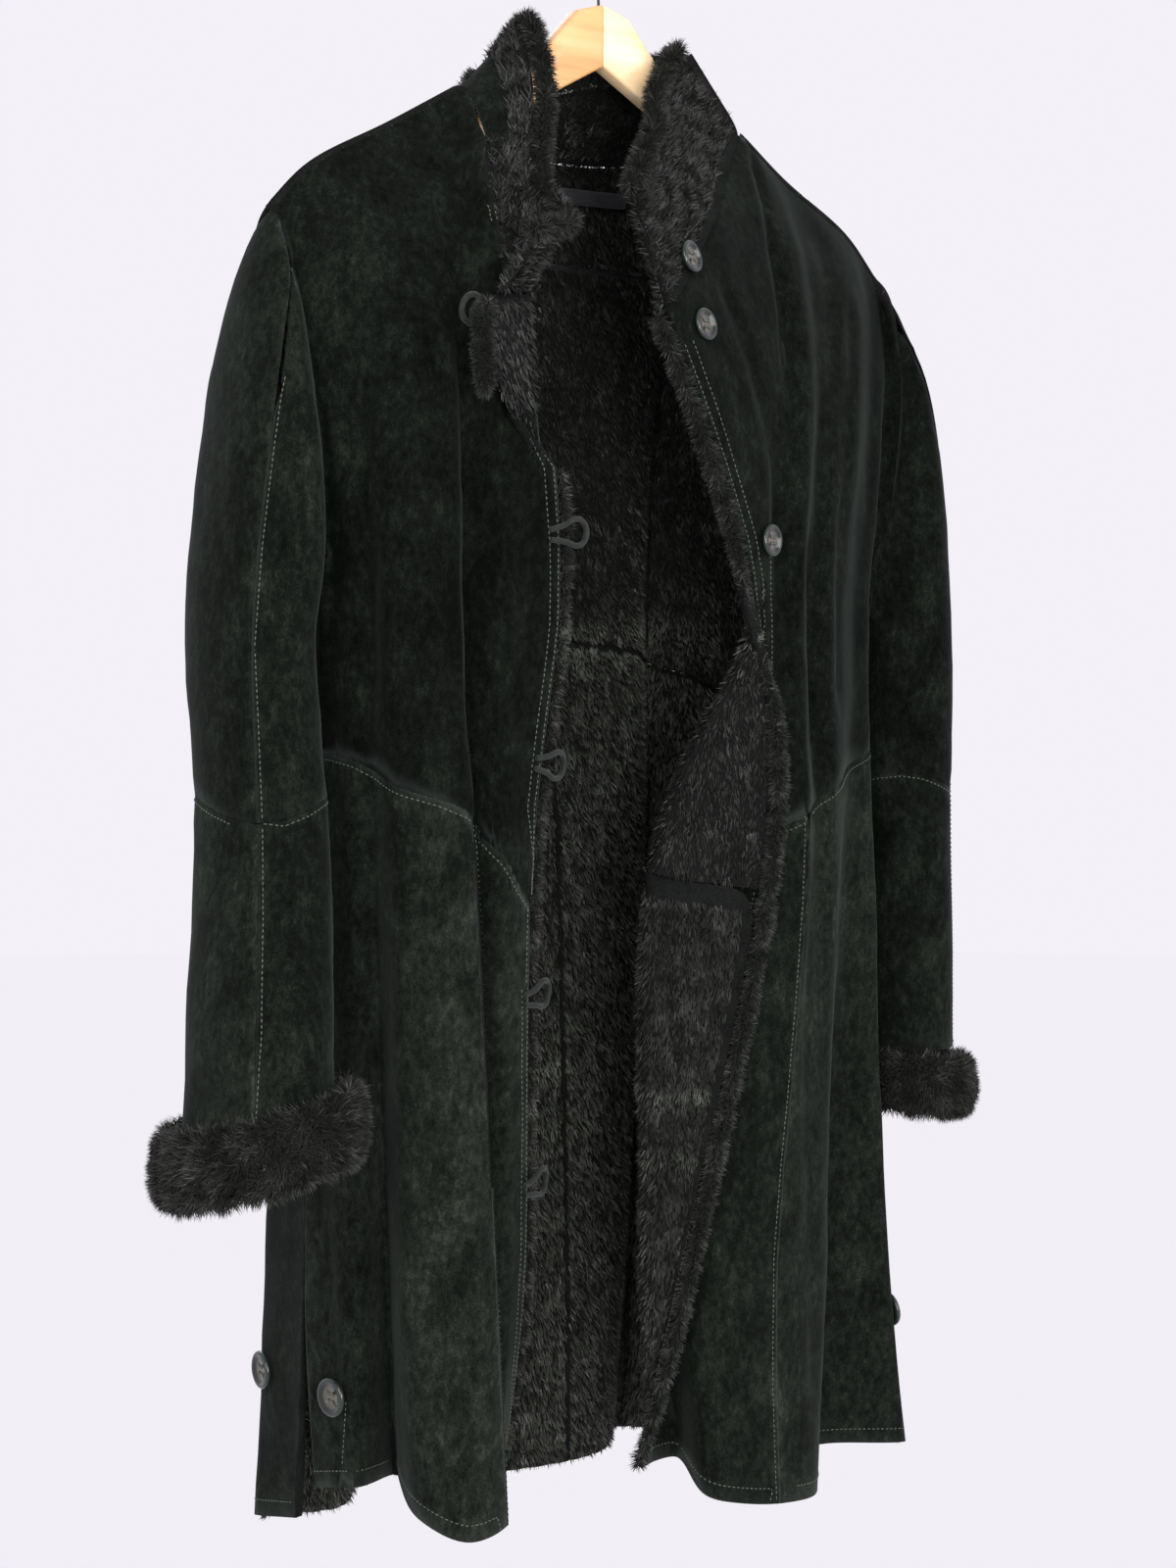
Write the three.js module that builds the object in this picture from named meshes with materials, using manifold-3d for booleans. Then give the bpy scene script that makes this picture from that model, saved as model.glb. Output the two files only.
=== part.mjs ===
// Three-quarter-length shearling swing coat, hung open on a wooden hanger.
// Millimetres, +Z up. The front of the coat faces -Y, and +X is the right of somebody who looks at it.
// The origin is the inside top of the hanger's hook, where it rests on a rail.
import * as THREE from "three";
import { mergeVertices } from "three/addons/utils/BufferGeometryUtils.js";
import Module from "manifold-3d";

const wasm = await Module();
wasm.setup();

// Driving sizes.
const WALL = 6.5; // leather and clipped pile together
const COLLAR_WALL = 8;
const SEAM_GAP = 0.3;
const CUT_TOLERANCE = 0.002;
const CHEST_Z = -460;
const WAIST_Z = -575;
const THIGH_Z = -880; // also the top of the side vents
const UNDERARM_BLEND = 150; // height over which the side runs into the armhole
const LOWER_ROWS = 7; // rows of faces between hem and waist seam
const VENT_ROWS = 2; // of these, the rows below the top of the vents
const UPPER_ROWS = 8; // rows of faces between waist seam and shoulder
const ARMHOLE_COLUMNS = 8; // columns along each half of an armhole
const SHOULDER_COLUMNS = 16; // columns along each shoulder seam, in front and behind
const ARMHOLE_HALF_DEPTH = 37;
const BUTTON_RADIUS = 10.5;
const VENT_BUTTON_RADIUS = 12;
const CORD_RADIUS = 2;
const RIM_RADIUS = 5.5; // pile that stands out past a front edge
const COLLAR_RIM_RADIUS = 6.5;
const RIM_GAP = 1.1; // at the points of an edge; less between them

const suede = new THREE.MeshStandardMaterial({ color: 0x1d2422, roughness: 0.95, metalness: 0 });
const fur = new THREE.MeshStandardMaterial({ color: 0x17191a, roughness: 1, metalness: 0 });
const wood = new THREE.MeshStandardMaterial({ color: 0xe0aa68, roughness: 0.45, metalness: 0 });
const steel = new THREE.MeshStandardMaterial({ color: 0xd8dade, roughness: 0.25, metalness: 1 });
const wire = new THREE.MeshStandardMaterial({ color: 0x1b1c1e, roughness: 0.4, metalness: 0.8 });
const horn = new THREE.MeshStandardMaterial({ color: 0x2b332f, roughness: 0.2, metalness: 0 });
const satin = new THREE.MeshStandardMaterial({ color: 0x15171b, roughness: 0.4, metalness: 0 });

const group = new THREE.Group();
const vec = (x, y, z) => new THREE.Vector3(x, y, z);
const mix = (a, b, f) => a + (b - a) * f;

// A smooth curve through a few named points, read at a fraction of its length in points.
function through(points, fraction) {
  const curve = new THREE.CatmullRomCurve3(points.map((p) => vec(...p)), false, "centripetal");
  return curve.getPoint(THREE.MathUtils.clamp(fraction, 0, 1));
}

// Edges that the panels meet on: neckline, shoulders and armholes.
// side is -1 for the left of the photograph and +1 for its right.
const NECK = {
  "-1": { point: [-108, 0, -138], front: [[-117, -42, -180], [-126, -64, -232], [-130, -76, -268]] },
  "1": { point: [118, 0, -141], front: [[92, -20, -170], [50, -54, -216], [10, -74, -252]] },
};
const FRONT_END = { "-1": [-160, -106, -284], "1": [-14, -86, -277] };
const ROLL_END = { "-1": [-126, -97, -277], "1": [-6, -87, -272] };
const BACK_NECK = { depth: 62, drop: 26, roundness: 0.8 };
const SHOULDER = [
  { out: 160, z: -168 },
  { out: 216, z: -198.5 },
];
const TIP = { out: 245, y: 2, z: -227 };
const UNDERARM = { out: 221, y: 2, z: -462 };

function shoulderSeam(side, fraction) {
  const bends = SHOULDER.map((s) => [side * s.out, 2, s.z]);
  return through([NECK[side].point, ...bends, [side * TIP.out, TIP.y, TIP.z]], fraction);
}

// Angle 0 is the shoulder tip and pi the underarm; back is +1 behind and -1 in front.
function armhole(side, angle, back) {
  const tip = vec(side * TIP.out, TIP.y, TIP.z);
  const low = vec(side * UNDERARM.out, UNDERARM.y, UNDERARM.z);
  const point = tip.clone().add(low).multiplyScalar(0.5);
  point.addScaledVector(tip.clone().sub(low).multiplyScalar(0.5), Math.cos(angle));
  point.y += back * ARMHOLE_HALF_DEPTH * Math.sin(angle);
  return point;
}

function backNeck(fraction) {
  const angle = Math.PI * (1 - fraction);
  const left = vec(...NECK[-1].point);
  const right = vec(...NECK[1].point);
  const point = left.clone().lerp(right, (1 + Math.cos(angle)) / 2);
  point.y += BACK_NECK.depth * Math.sin(angle) ** BACK_NECK.roundness;
  point.z -= BACK_NECK.drop * Math.sin(angle);
  return point;
}

// Fold crests and valleys, in order round the coat. top names the edge that the column runs up to,
// and neck the place on the neckline. The other entries are plan positions [x, y] at each height;
// hem adds its z. steps is the number of columns of faces up to the next row, and seam is the height
// of the waist seam.
const FRONT_LEFT = [
  { at: "front edge", top: "end", seam: -640, steps: 2,
    chest: [-98, -90], waist: [-113, -86], thigh: [-91, -44], hem: [-76, 2, -1006] },
  { at: "roll line", top: "roll", seam: -634, steps: 2,
    chest: [-108, -93], waist: [-120, -89], thigh: [-97, -48], hem: [-82, -4, -1006] },
  { at: "behind roll", top: "neck", neck: 0.12, seam: -628, ease: 3, steps: 3,
    chest: [-120, -93], waist: [-127, -91], thigh: [-104, -52], hem: [-89, -12, -1006] },
  { at: "chest swell", top: "neck", neck: 0.55, seam: -612, ease: 5, steps: 3,
    chest: [-141, -93], waist: [-139, -92], thigh: [-114, -56], hem: [-101, -26, -1006] },
  { at: "neck point", top: "neck point", seam: -600, ease: 3.5, steps: 2,
    chest: [-151, -84], waist: [-147, -82], thigh: [-121, -52], hem: [-108, -34, -1006] },
  { at: "deep fold", top: "shoulder", seam: -592, ease: 3.5, steps: 3,
    chest: [-157, -74], waist: [-151, -70], thigh: [-125, -46], hem: [-113, -40, -1006] },
  { at: "centre ridge", top: "shoulder", seam: -584, ease: 2.2, steps: 3,
    chest: [-166, -82], waist: [-161, -90], thigh: [-144, -90], hem: [-136, -88, -1012] },
  { at: "ridge face", top: "shoulder", seam: -574, ease: 1.6, steps: 3,
    chest: [-186, -80], waist: [-182, -87], thigh: [-175, -90], hem: [-172, -98, -1013] },
  { at: "ridge side", top: "shoulder", seam: -566, steps: 2,
    chest: [-203, -64], waist: [-203, -69], thigh: [-196, -61], hem: [-187, -58, -1002] },
  { at: "side valley", top: "shoulder", seam: -558, steps: 3,
    chest: [-205, -48], waist: [-201, -44], thigh: [-176, -20], hem: [-161, -4, -998] },
  { at: "side ridge", top: "tip", seam: -552, steps: ARMHOLE_COLUMNS,
    chest: [-212, -37], waist: [-210, -36], thigh: [-205, -33], hem: [-206, -32, -990] },
  { at: "side seam", top: "underarm", seam: -546, steps: 0,
    chest: [-216, 4], waist: [-215, 6], thigh: [-218, 12], hem: [-212, 10, -1000] },
];
const BACK = [
  { at: "left side seam", top: "underarm", seam: -546, steps: ARMHOLE_COLUMNS,
    chest: [-216, 4], waist: [-215, 6], thigh: [-218, 12], hem: [-207, 42, -1029] },
  { at: "left blade ridge", top: "tip", seam: -530, steps: 6,
    chest: [-192, 62], waist: [-196, 66], thigh: [-205, 80], hem: [-208, 92, -1040] },
  { at: "left back valley", top: "shoulder", seam: -514, steps: 5,
    chest: [-150, 70], waist: [-150, 66], thigh: [-156, 68], hem: [-160, 74, -1040] },
  { at: "left back ridge", top: "shoulder", seam: -498, steps: 5,
    chest: [-100, 94], waist: [-102, 100], thigh: [-106, 114], hem: [-110, 124, -1042] },
  { at: "left neck", top: "nape", neck: 0, seam: -486, steps: 4,
    chest: [-52, 84], waist: [-50, 82], thigh: [-46, 83], hem: [-46, 88, -1044] },
  { at: "centre back", top: "nape", neck: 0.5, seam: -478, steps: 4,
    chest: [8, 80], waist: [14, 74], thigh: [21, 71], hem: [24, 73, -1045] },
  { at: "inner swell", top: "nape", neck: 0.85, seam: -488, steps: 3,
    chest: [84, 76], waist: [88, 73], thigh: [77, 80], hem: [68, 88, -1048] },
  { at: "right back ridge", top: "nape", neck: 1, seam: -494, steps: 6,
    chest: [108, 98], waist: [110, 102], thigh: [108, 116], hem: [106, 128, -1050] },
  { at: "right back valley", top: "shoulder", seam: -504, steps: 10,
    chest: [134, 80], waist: [136, 80], thigh: [144, 80], hem: [150, 84, -1048] },
  { at: "right blade ridge", top: "tip", seam: -528, steps: ARMHOLE_COLUMNS,
    chest: [186, 66], waist: [190, 70], thigh: [203, 82], hem: [214, 96, -1047] },
  { at: "right side seam", top: "underarm", seam: -550, steps: 0,
    chest: [214, 4], waist: [214, 4], thigh: [226, 8], hem: [242, 22, -1047] },
];
const FRONT_RIGHT = [
  { at: "side seam", top: "underarm", seam: -550, steps: ARMHOLE_COLUMNS,
    chest: [214, 4], waist: [214, 4], thigh: [226, 8], hem: [250, -6, -1046] },
  { at: "side ridge", top: "tip", seam: -556, steps: 3,
    chest: [204, -36], waist: [206, -38], thigh: [216, -44], hem: [236, -44, -1044] },
  { at: "side valley", top: "shoulder", seam: -564, steps: 4,
    chest: [182, -44], waist: [180, -44], thigh: [168, -26], hem: [172, -18, -1040] },
  { at: "ridge side", top: "shoulder", seam: -578, steps: 3,
    chest: [133, -76], waist: [135, -80], thigh: [138, -70], hem: [137, -62, -1048] },
  { at: "ridge pleat", top: "shoulder", seam: -586, steps: 3,
    chest: [117, -70], waist: [120, -76], thigh: [112, -84], hem: [112, -86, -1046] },
  { at: "ridge face", top: "shoulder", seam: -592, steps: 3,
    chest: [97, -86], waist: [104, -89], thigh: [77, -89], hem: [78, -92, -1042] },
  { at: "neck point", top: "neck point", seam: -598, steps: 3,
    chest: [80, -79], waist: [93, -86], thigh: [52, -88], hem: [54, -90, -1038] },
  { at: "under the roll", top: "neck", neck: 0.6, seam: -608, steps: 4,
    chest: [71, -84], waist: [60, -76], thigh: [22, -78], hem: [25, -79, -1030] },
  { at: "inner valley", top: "neck", neck: 0.3, seam: -616, steps: 4,
    chest: [68, -87], waist: [34, -53], thigh: [14, -48], hem: [34, -40, -1016] },
  { at: "roll line", top: "roll", seam: -630, steps: 3,
    chest: [65, -89], waist: [15, -50], thigh: [-8, -60], hem: [14, -42, -1014] },
  { at: "front edge", top: "end", seam: -640, steps: 0,
    chest: [59, -90], waist: [67, -91], thigh: [7, -76], hem: [-3, -52, -1012] },
];

// Rows on a shoulder seam get their place on it from the columns between neck point and tip.
function placeOnShoulder(table) {
  const seamTops = ["neck point", "shoulder", "tip"];
  const onSeam = (row) => seamTops.includes(row.top) || row.neck === 0 || row.neck === 1;
  const spans = table.map((row, k) => (table[k + 1] && onSeam(row) && onSeam(table[k + 1]) ? row.steps : 0));
  table.forEach((row, k) => {
    if (row.top !== "shoulder") return;
    let before = 0;
    let i = k - 1;
    while (i >= 0 && table[i + 1].top !== "tip" && onSeam(table[i])) {
      before += spans[i];
      if (table[i].top !== "shoulder") break;
      i -= 1;
    }
    row.shoulder = table[i].top === "tip" ? 1 - before / SHOULDER_COLUMNS : before / SHOULDER_COLUMNS;
  });
}
[FRONT_LEFT, BACK, FRONT_RIGHT].forEach(placeOnShoulder);

// One smooth value through the four heights at which the tables give a plan position.
function atHeight(row, axis, z) {
  const heights = [row.hem[2], THIGH_Z, WAIST_Z, CHEST_Z];
  const values = [row.hem[axis], row.thigh[axis], row.waist[axis], row.chest[axis]];
  if (z >= CHEST_Z) return values[3];
  const k = z < heights[1] ? 0 : z < heights[2] ? 1 : 2;
  const slope = (i) => (values[i + 1] - values[i]) / (heights[i + 1] - heights[i]);
  const tangent = (i) => (i === 0 ? slope(0) : i === 3 ? 0 : i === 1 ? slope(1) : (slope(1) + slope(2)) / 2);
  const span = heights[k + 1] - heights[k];
  const f = (z - heights[k]) / span;
  const f2 = f * f;
  const f3 = f2 * f;
  return (
    values[k] * (2 * f3 - 3 * f2 + 1) +
    tangent(k) * span * (f3 - 2 * f2 + f) +
    values[k + 1] * (3 * f2 - 2 * f3) +
    tangent(k + 1) * span * (f3 - f2)
  );
}

// Where a column that lies between rows a and b ends at its top; face is -1 in front and +1 behind.
function topBetween(a, b, f, side, face) {
  const has = (name) => a.top === name || b.top === name;
  const bothNeck = a.neck !== undefined && b.neck !== undefined;
  if (has("underarm")) return armhole(side, Math.PI * (a.top === "tip" ? f : 1 - f), face);
  if (bothNeck && face > 0) return backNeck(mix(a.neck, b.neck, f));
  if (has("shoulder")) {
    const place = (row) => (row.top === "tip" ? 1 : row.top === "shoulder" ? row.shoulder : 0);
    return shoulderSeam(side, mix(place(a), place(b), f));
  }
  const end = (row) => {
    if (row.top === "end") return vec(...FRONT_END[side]);
    if (row.top === "roll") return vec(...ROLL_END[side]);
    return frontNeck(side, row.neck === undefined ? 1 : row.neck);
  };
  if (has("roll")) return end(a).lerp(end(b), f);
  const place = (row) => (row.neck === undefined ? 1 : row.neck);
  return frontNeck(side, mix(place(a), place(b), f));
}

function frontNeck(side, fraction) {
  return through([...NECK[side].front].reverse().concat([NECK[side].point]), fraction);
}

// Every column of a table: the two rows that it lies between, and how far along.
function columnsOf(table) {
  const list = [];
  table.forEach((row, k) => {
    for (let c = 0; c < row.steps; c++) list.push({ k, f: c / row.steps });
  });
  list.push({ k: table.length - 2, f: 1 });
  return list;
}

// How a column runs from its plan position at the chest to its place on the top edge: powers of the way up.
const ROW_GATHER = 1.35; // rows of faces crowd towards the top
const ACROSS_EASE = 1.25;
const EDGE_EASE = 0.9; // columns between the front edge and the column behind its roll
const DEPTH_EASE = { panel: 3, underarm: 1.4 };
const REVERS = { start: 0.4, span: 0.38 }; // part of the way up over which the left edge turns out
const smooth = (f) => f * f * (3 - 2 * f);
const turnOut = (w) => smooth(THREE.MathUtils.clamp((w - REVERS.start) / REVERS.span, 0, 1));

function panelPoint(table, column, height, face) {
  const { k, f } = column;
  const a = table[k];
  const b = table[k + 1];
  const side = a.chest[0] + b.chest[0] < 0 || table === FRONT_LEFT ? -1 : 1;
  const top = topBetween(a, b, f, side, face);
  const hemZ = through(table.map((r) => [0, 0, r.hem[2]]), (k + f) / (table.length - 1)).z;
  const seamZ = mix(a.seam, b.seam, f);
  const vent = VENT_ROWS / LOWER_ROWS;
  let z = mix(seamZ, top.z, 1 - Math.max(0, 2 - height) ** ROW_GATHER);
  if (height <= vent) z = mix(hemZ, THIGH_Z, height / vent);
  else if (height <= 1) z = mix(THIGH_Z, seamZ, (height - vent) / (1 - vent));
  const level = Math.max(Math.min(z, CHEST_Z), hemZ);
  const plan = through(
    table.map((r) => [0, 1].map((axis) => atHeight(r, axis, Math.max(level, r.hem[2])))),
    (k + f) / (table.length - 1),
  );
  const start = Math.min(CHEST_Z, top.z - UNDERARM_BLEND);
  const w = THREE.MathUtils.clamp((z - start) / (top.z - start), 0, 1);
  const edgeColumn = table === FRONT_LEFT && k + f < 2;
  const late = mix(a.ease || ACROSS_EASE, b.ease || ACROSS_EASE, f);
  const acrossEase = edgeColumn ? mix(turnOut(w), w, Math.min(1, k + f) * EDGE_EASE) : w ** late;
  const onArmhole = a.top === "underarm" ? 1 - f : b.top === "underarm" ? f : 0;
  const depthEase = w ** mix(DEPTH_EASE.panel, DEPTH_EASE.underarm, Math.min(1, 3 * onArmhole));
  return vec(mix(plan.x, top.x, acrossEase), mix(plan.y, top.y, depthEase), z);
}

// A grid of points: grid[column][row]. rows 0..1 is hem to waist seam and 1..2 waist seam to top.
function gridOf(table, face) {
  const heights = [];
  for (let j = 0; j <= LOWER_ROWS; j++) heights.push(j / LOWER_ROWS);
  for (let j = 1; j <= UPPER_ROWS; j++) heights.push(1 + j / UPPER_ROWS);
  return columnsOf(table).map((column) => heights.map((h) => panelPoint(table, column, h, face)));
}

// The piece of a grid between two columns and two rows, ends included.
const cut = (grid, c0, c1, r0, r1) => grid.slice(c0, c1 + 1).map((column) => column.slice(r0, r1 + 1));
const columnAt = (table, name) => {
  let count = 0;
  for (const row of table) {
    if (row.at === name) return count;
    count += row.steps;
  }
  return count;
};

const LEFT = gridOf(FRONT_LEFT, -1);
const REAR = gridOf(BACK, 1);
const RIGHT = gridOf(FRONT_RIGHT, -1);
const TOP = LOWER_ROWS + UPPER_ROWS;
const leftSeam = columnAt(FRONT_LEFT, "centre ridge");
const rightSeam = columnAt(FRONT_RIGHT, "ridge face");
const centreBack = columnAt(BACK, "centre back");

// Cloth patches, all with the outer face towards the same side. Neighbours share their border points.
const patches = [];
const patch = (name, grid, material, wall = WALL) => patches.push({ name, grid, material, wall });

patch("front_upper_left", cut(LEFT, 0, LEFT.length - 1, LOWER_ROWS, TOP), suede);
patch("front_centre_lower_left", cut(LEFT, 0, leftSeam, 0, LOWER_ROWS), suede);
patch("front_side_lower_left", cut(LEFT, leftSeam, LEFT.length - 1, 0, LOWER_ROWS), suede);
patch("back_upper", cut(REAR, 0, REAR.length - 1, LOWER_ROWS, TOP), suede);
patch("back_lower_left", cut(REAR, 0, centreBack, 0, LOWER_ROWS), suede);
patch("back_lower_right", cut(REAR, centreBack, REAR.length - 1, 0, LOWER_ROWS), suede);
patch("front_upper_right", cut(RIGHT, 0, RIGHT.length - 1, LOWER_ROWS, TOP), suede);
patch("front_side_lower_right", cut(RIGHT, 0, rightSeam, 0, LOWER_ROWS), suede);
patch("front_centre_lower_right", cut(RIGHT, rightSeam, RIGHT.length - 1, 0, LOWER_ROWS), suede);

// Collar: it rises from the neckline, and lean gives the way to its top edge at a few places.
const COLLAR_LEAN = [
  { neck: 0, lean: [28, 4, 32] },
  { neck: 0.1, lean: [28, 8, 44] },
  { neck: 0.22, lean: [37, 4, 44] },
  { neck: 0.32, lean: [38, -8, 45] },
  { neck: 0.4, lean: [36, -14, 44] },
  { neck: 0.5, lean: [0, 10, 46] },
  { neck: 0.6, lean: [-39, 3, 49] },
  { neck: 0.68, lean: [-54, -16, 42] },
  { neck: 0.78, lean: [-54, -4, 44] },
  { neck: 0.9, lean: [-34, 2, 56] },
  { neck: 1, lean: [-22, 4, 66] },
];
const COLLAR_ROWS = 3;
const neckColumns = (grid, count) => grid.slice(0, count).map((column) => column[TOP]);
const leftNeckCount = LEFT.findIndex((c) => c[TOP].distanceTo(vec(...NECK[-1].point)) < 0.01) + 1;
const rightNeckStart = RIGHT.findIndex((c) => c[TOP].distanceTo(vec(...NECK[1].point)) < 0.01);
const rearNeckStart = columnAt(BACK, "left neck");
const rearNeckEnd = columnAt(BACK, "right back ridge");
const neckline = [
  ...neckColumns(LEFT, leftNeckCount),
  ...REAR.slice(rearNeckStart + 1, rearNeckEnd).map((column) => column[TOP]),
  ...RIGHT.slice(rightNeckStart).map((column) => column[TOP]),
];
const neckLengths = neckline.map(() => 0);
for (let i = 1; i < neckline.length; i++) {
  neckLengths[i] = neckLengths[i - 1] + neckline[i].distanceTo(neckline[i - 1]);
}
const neckTotal = neckLengths[neckLengths.length - 1];

function collarLean(fraction) {
  const next = Math.max(1, COLLAR_LEAN.findIndex((row) => row.neck >= fraction - 1e-9));
  const a = COLLAR_LEAN[next - 1];
  const b = COLLAR_LEAN[next];
  const f = smooth(THREE.MathUtils.clamp((fraction - a.neck) / (b.neck - a.neck), 0, 1));
  return vec(...a.lean).lerp(vec(...b.lean), f);
}

const collarGrid = neckline.map((base, i) => {
  const lean = collarLean(neckLengths[i] / neckTotal);
  return Array.from({ length: COLLAR_ROWS + 1 }, (_, j) => base.clone().addScaledVector(lean, j / COLLAR_ROWS));
});
patch("collar", collarGrid, suede, COLLAR_WALL);

// Sleeves: rings that fan round the underarm, then hang to the cuff.
// inner and outer are the ends of a ring towards and away from the body, as [out, z].
const CAP_RINGS = [
  { inner: [225, -467], outer: [258, -258], depth: 56 },
  { inner: [227, -472], outer: [268, -304], depth: 62 },
  { inner: [228, -479], outer: [277, -360], depth: 62 },
  { inner: [228, -489], outer: [285, -420], depth: 60 },
  { inner: [227, -505], outer: [290, -482], depth: 58 },
];
// Lower rings by height: centre [out, y] and half sizes; dip is how far the seam side sags.
const ARM_RINGS = {
  "-1": [
    { z: -528, centre: [258, -4], half: [33, 56], dip: 6 },
    { z: -572, centre: [258, -10], half: [34, 54], dip: 14 },
    { z: -636, centre: [264, -22], half: [36, 56], dip: 6 },
    { z: -700, centre: [274, -36], half: [38, 59], dip: 2 },
    { z: -772, centre: [281, -45], half: [39, 61], dip: 0 },
  ],
  "1": [
    { z: -528, centre: [258, 0], half: [33, 56], dip: 6 },
    { z: -572, centre: [260, 2], half: [34, 54], dip: 14 },
    { z: -636, centre: [266, 10], half: [36, 56], dip: 6 },
    { z: -700, centre: [275, 20], half: [38, 59], dip: 2 },
    { z: -772, centre: [282, 28], half: [39, 61], dip: 0 },
  ],
};
const ELBOW_RING = CAP_RINGS.length + 2; // the ring that the elbow seam follows

// Ring points run from the top (outer) over the front to the underarm side and back.
function sleeveRings(side) {
  const count = 2 * ARMHOLE_COLUMNS;
  const angles = Array.from({ length: count }, (_, i) => (2 * Math.PI * i) / count);
  const first = angles.map((a) => (a <= Math.PI ? armhole(side, a, -1) : armhole(side, 2 * Math.PI - a, 1)));
  const cap = CAP_RINGS.map(({ inner, outer, depth }) =>
    angles.map((a) => {
      const out = (outer[0] + inner[0]) / 2 + ((outer[0] - inner[0]) / 2) * Math.cos(a);
      const z = (outer[1] + inner[1]) / 2 + ((outer[1] - inner[1]) / 2) * Math.cos(a);
      return vec(side * out, 2 - depth * Math.sin(a), z);
    }),
  );
  const arm = ARM_RINGS[side].map(({ z, centre, half, dip }) =>
    angles.map((a) => {
      const sag = dip * (0.5 + 0.5 * Math.cos(a * 2 - Math.PI / 2)); // lowest at the length seams
      return vec(side * (centre[0] + half[0] * Math.cos(a)), centre[1] - half[1] * Math.sin(a), z - sag);
    }),
  );
  return [first, ...cap, ...arm];
}

const SEAM_COLUMN = 2; // columns from the outermost line to the length seam in front
function sleevePiece(rings, start, end, r0, r1, side) {
  const count = rings[0].length;
  const columns = [];
  for (let i = start; i <= end; i++) {
    columns.push(rings.slice(r0, r1 + 1).map((ring) => ring[((i % count) + count) % count]));
  }
  const rising = columns.map((column) => [...column].reverse());
  return side < 0 ? rising.reverse() : rising;
}

for (const side of [-1, 1]) {
  const label = side < 0 ? "left" : "right";
  const rings = sleeveRings(side);
  const half = ARMHOLE_COLUMNS;
  const last = rings.length - 1;
  const place = [
    ["front", SEAM_COLUMN, SEAM_COLUMN + half],
    ["back", SEAM_COLUMN + half, SEAM_COLUMN + 2 * half],
  ];
  for (const [face, start, end] of place) {
    patch(`sleeve_upper_${face}_${label}`, sleevePiece(rings, start, end, 0, ELBOW_RING, side), suede);
    patch(`sleeve_lower_${face}_${label}`, sleevePiece(rings, start, end, ELBOW_RING, last, side), suede);
  }
}

// Vertex normals over all patches at once, so that the walls of neighbours stay side by side.
const keyOf = (p) => [p.x, p.y, p.z].map((v) => Math.round(v * 50)).join(",");
const normals = new Map();
for (const { grid } of patches) {
  for (let i = 0; i + 1 < grid.length; i++) {
    for (let j = 0; j + 1 < grid[0].length; j++) {
      const corners = [grid[i][j], grid[i][j + 1], grid[i + 1][j + 1], grid[i + 1][j]];
      const across = corners[2].clone().sub(corners[0]);
      const other = corners[3].clone().sub(corners[1]);
      const face = across.cross(other);
      for (const p of corners) {
        const key = keyOf(p);
        if (!normals.has(key)) normals.set(key, vec(0, 0, 0));
        normals.get(key).add(face);
      }
    }
  }
}
const normalAt = (p) => normals.get(keyOf(p)).clone().normalize();

// A closed solid from an outer and an inner grid of points.
function shellGeometry(outer, inner) {
  const columns = outer.length;
  const rows = outer[0].length;
  const positions = [];
  const index = [];
  for (const grid of [outer, inner]) {
    for (const column of grid) for (const p of column) positions.push(p.x, p.y, p.z);
  }
  const at = (layer, i, j) => layer * columns * rows + i * rows + j;
  const quad = (a, b, c, d) => index.push(a, b, c, a, c, d);
  // A side wall is split from its lower outer corner, so that the walls of neighbours match.
  const rank = (a) => positions[3 * a + 2] + positions[3 * a] * 1e-3;
  const wallQuad = (a, b, c, d) => {
    const outerPair = [a, b, c, d].filter((v) => v < columns * rows);
    const start = rank(outerPair[0]) < rank(outerPair[1]) ? outerPair[0] : outerPair[1];
    if (start === a || start === c) quad(a, b, c, d);
    else quad(b, c, d, a);
  };
  for (let i = 0; i + 1 < columns; i++) {
    for (let j = 0; j + 1 < rows; j++) {
      quad(at(0, i, j), at(0, i, j + 1), at(0, i + 1, j + 1), at(0, i + 1, j));
      quad(at(1, i, j), at(1, i + 1, j), at(1, i + 1, j + 1), at(1, i, j + 1));
    }
  }
  for (let i = 0; i + 1 < columns; i++) {
    wallQuad(at(0, i, 0), at(0, i + 1, 0), at(1, i + 1, 0), at(1, i, 0));
    wallQuad(at(0, i, rows - 1), at(1, i, rows - 1), at(1, i + 1, rows - 1), at(0, i + 1, rows - 1));
  }
  for (let j = 0; j + 1 < rows; j++) {
    wallQuad(at(0, 0, j), at(1, 0, j), at(1, 0, j + 1), at(0, 0, j + 1));
    const last = columns - 1;
    wallQuad(at(0, last, j), at(0, last, j + 1), at(1, last, j + 1), at(1, last, j));
  }
  const geometry = new THREE.BufferGeometry();
  geometry.setAttribute("position", new THREE.Float32BufferAttribute(positions, 3));
  geometry.setIndex(index);
  geometry.computeVertexNormals();
  return geometry;
}

// Border points move in by half a seam gap.
function drawnIn(grid) {
  const step = (p, q) => q.clone().sub(p).normalize().multiplyScalar(SEAM_GAP / 2);
  const lastColumn = grid.length - 1;
  const lastRow = grid[0].length - 1;
  return grid.map((column, i) =>
    column.map((p, j) => {
      const moved = p.clone();
      if (i === 0) moved.add(step(p, grid[1][j]));
      if (i === lastColumn) moved.add(step(p, grid[lastColumn - 1][j]));
      if (j === 0) moved.add(step(p, column[1]));
      if (j === lastRow) moved.add(step(p, column[lastRow - 1]));
      return moved;
    }),
  );
}

function add(name, geometry, material, position = [0, 0, 0]) {
  const mesh = new THREE.Mesh(geometry, material);
  mesh.name = name;
  mesh.position.set(...position);
  group.add(mesh);
  return mesh;
}

// The wall of a patch, grown past both faces where it serves as a cutter.
const layer = (grid, points, depth) =>
  points.map((column, i) => column.map((p, j) => p.clone().addScaledVector(normalAt(grid[i][j]), -depth)));

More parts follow.
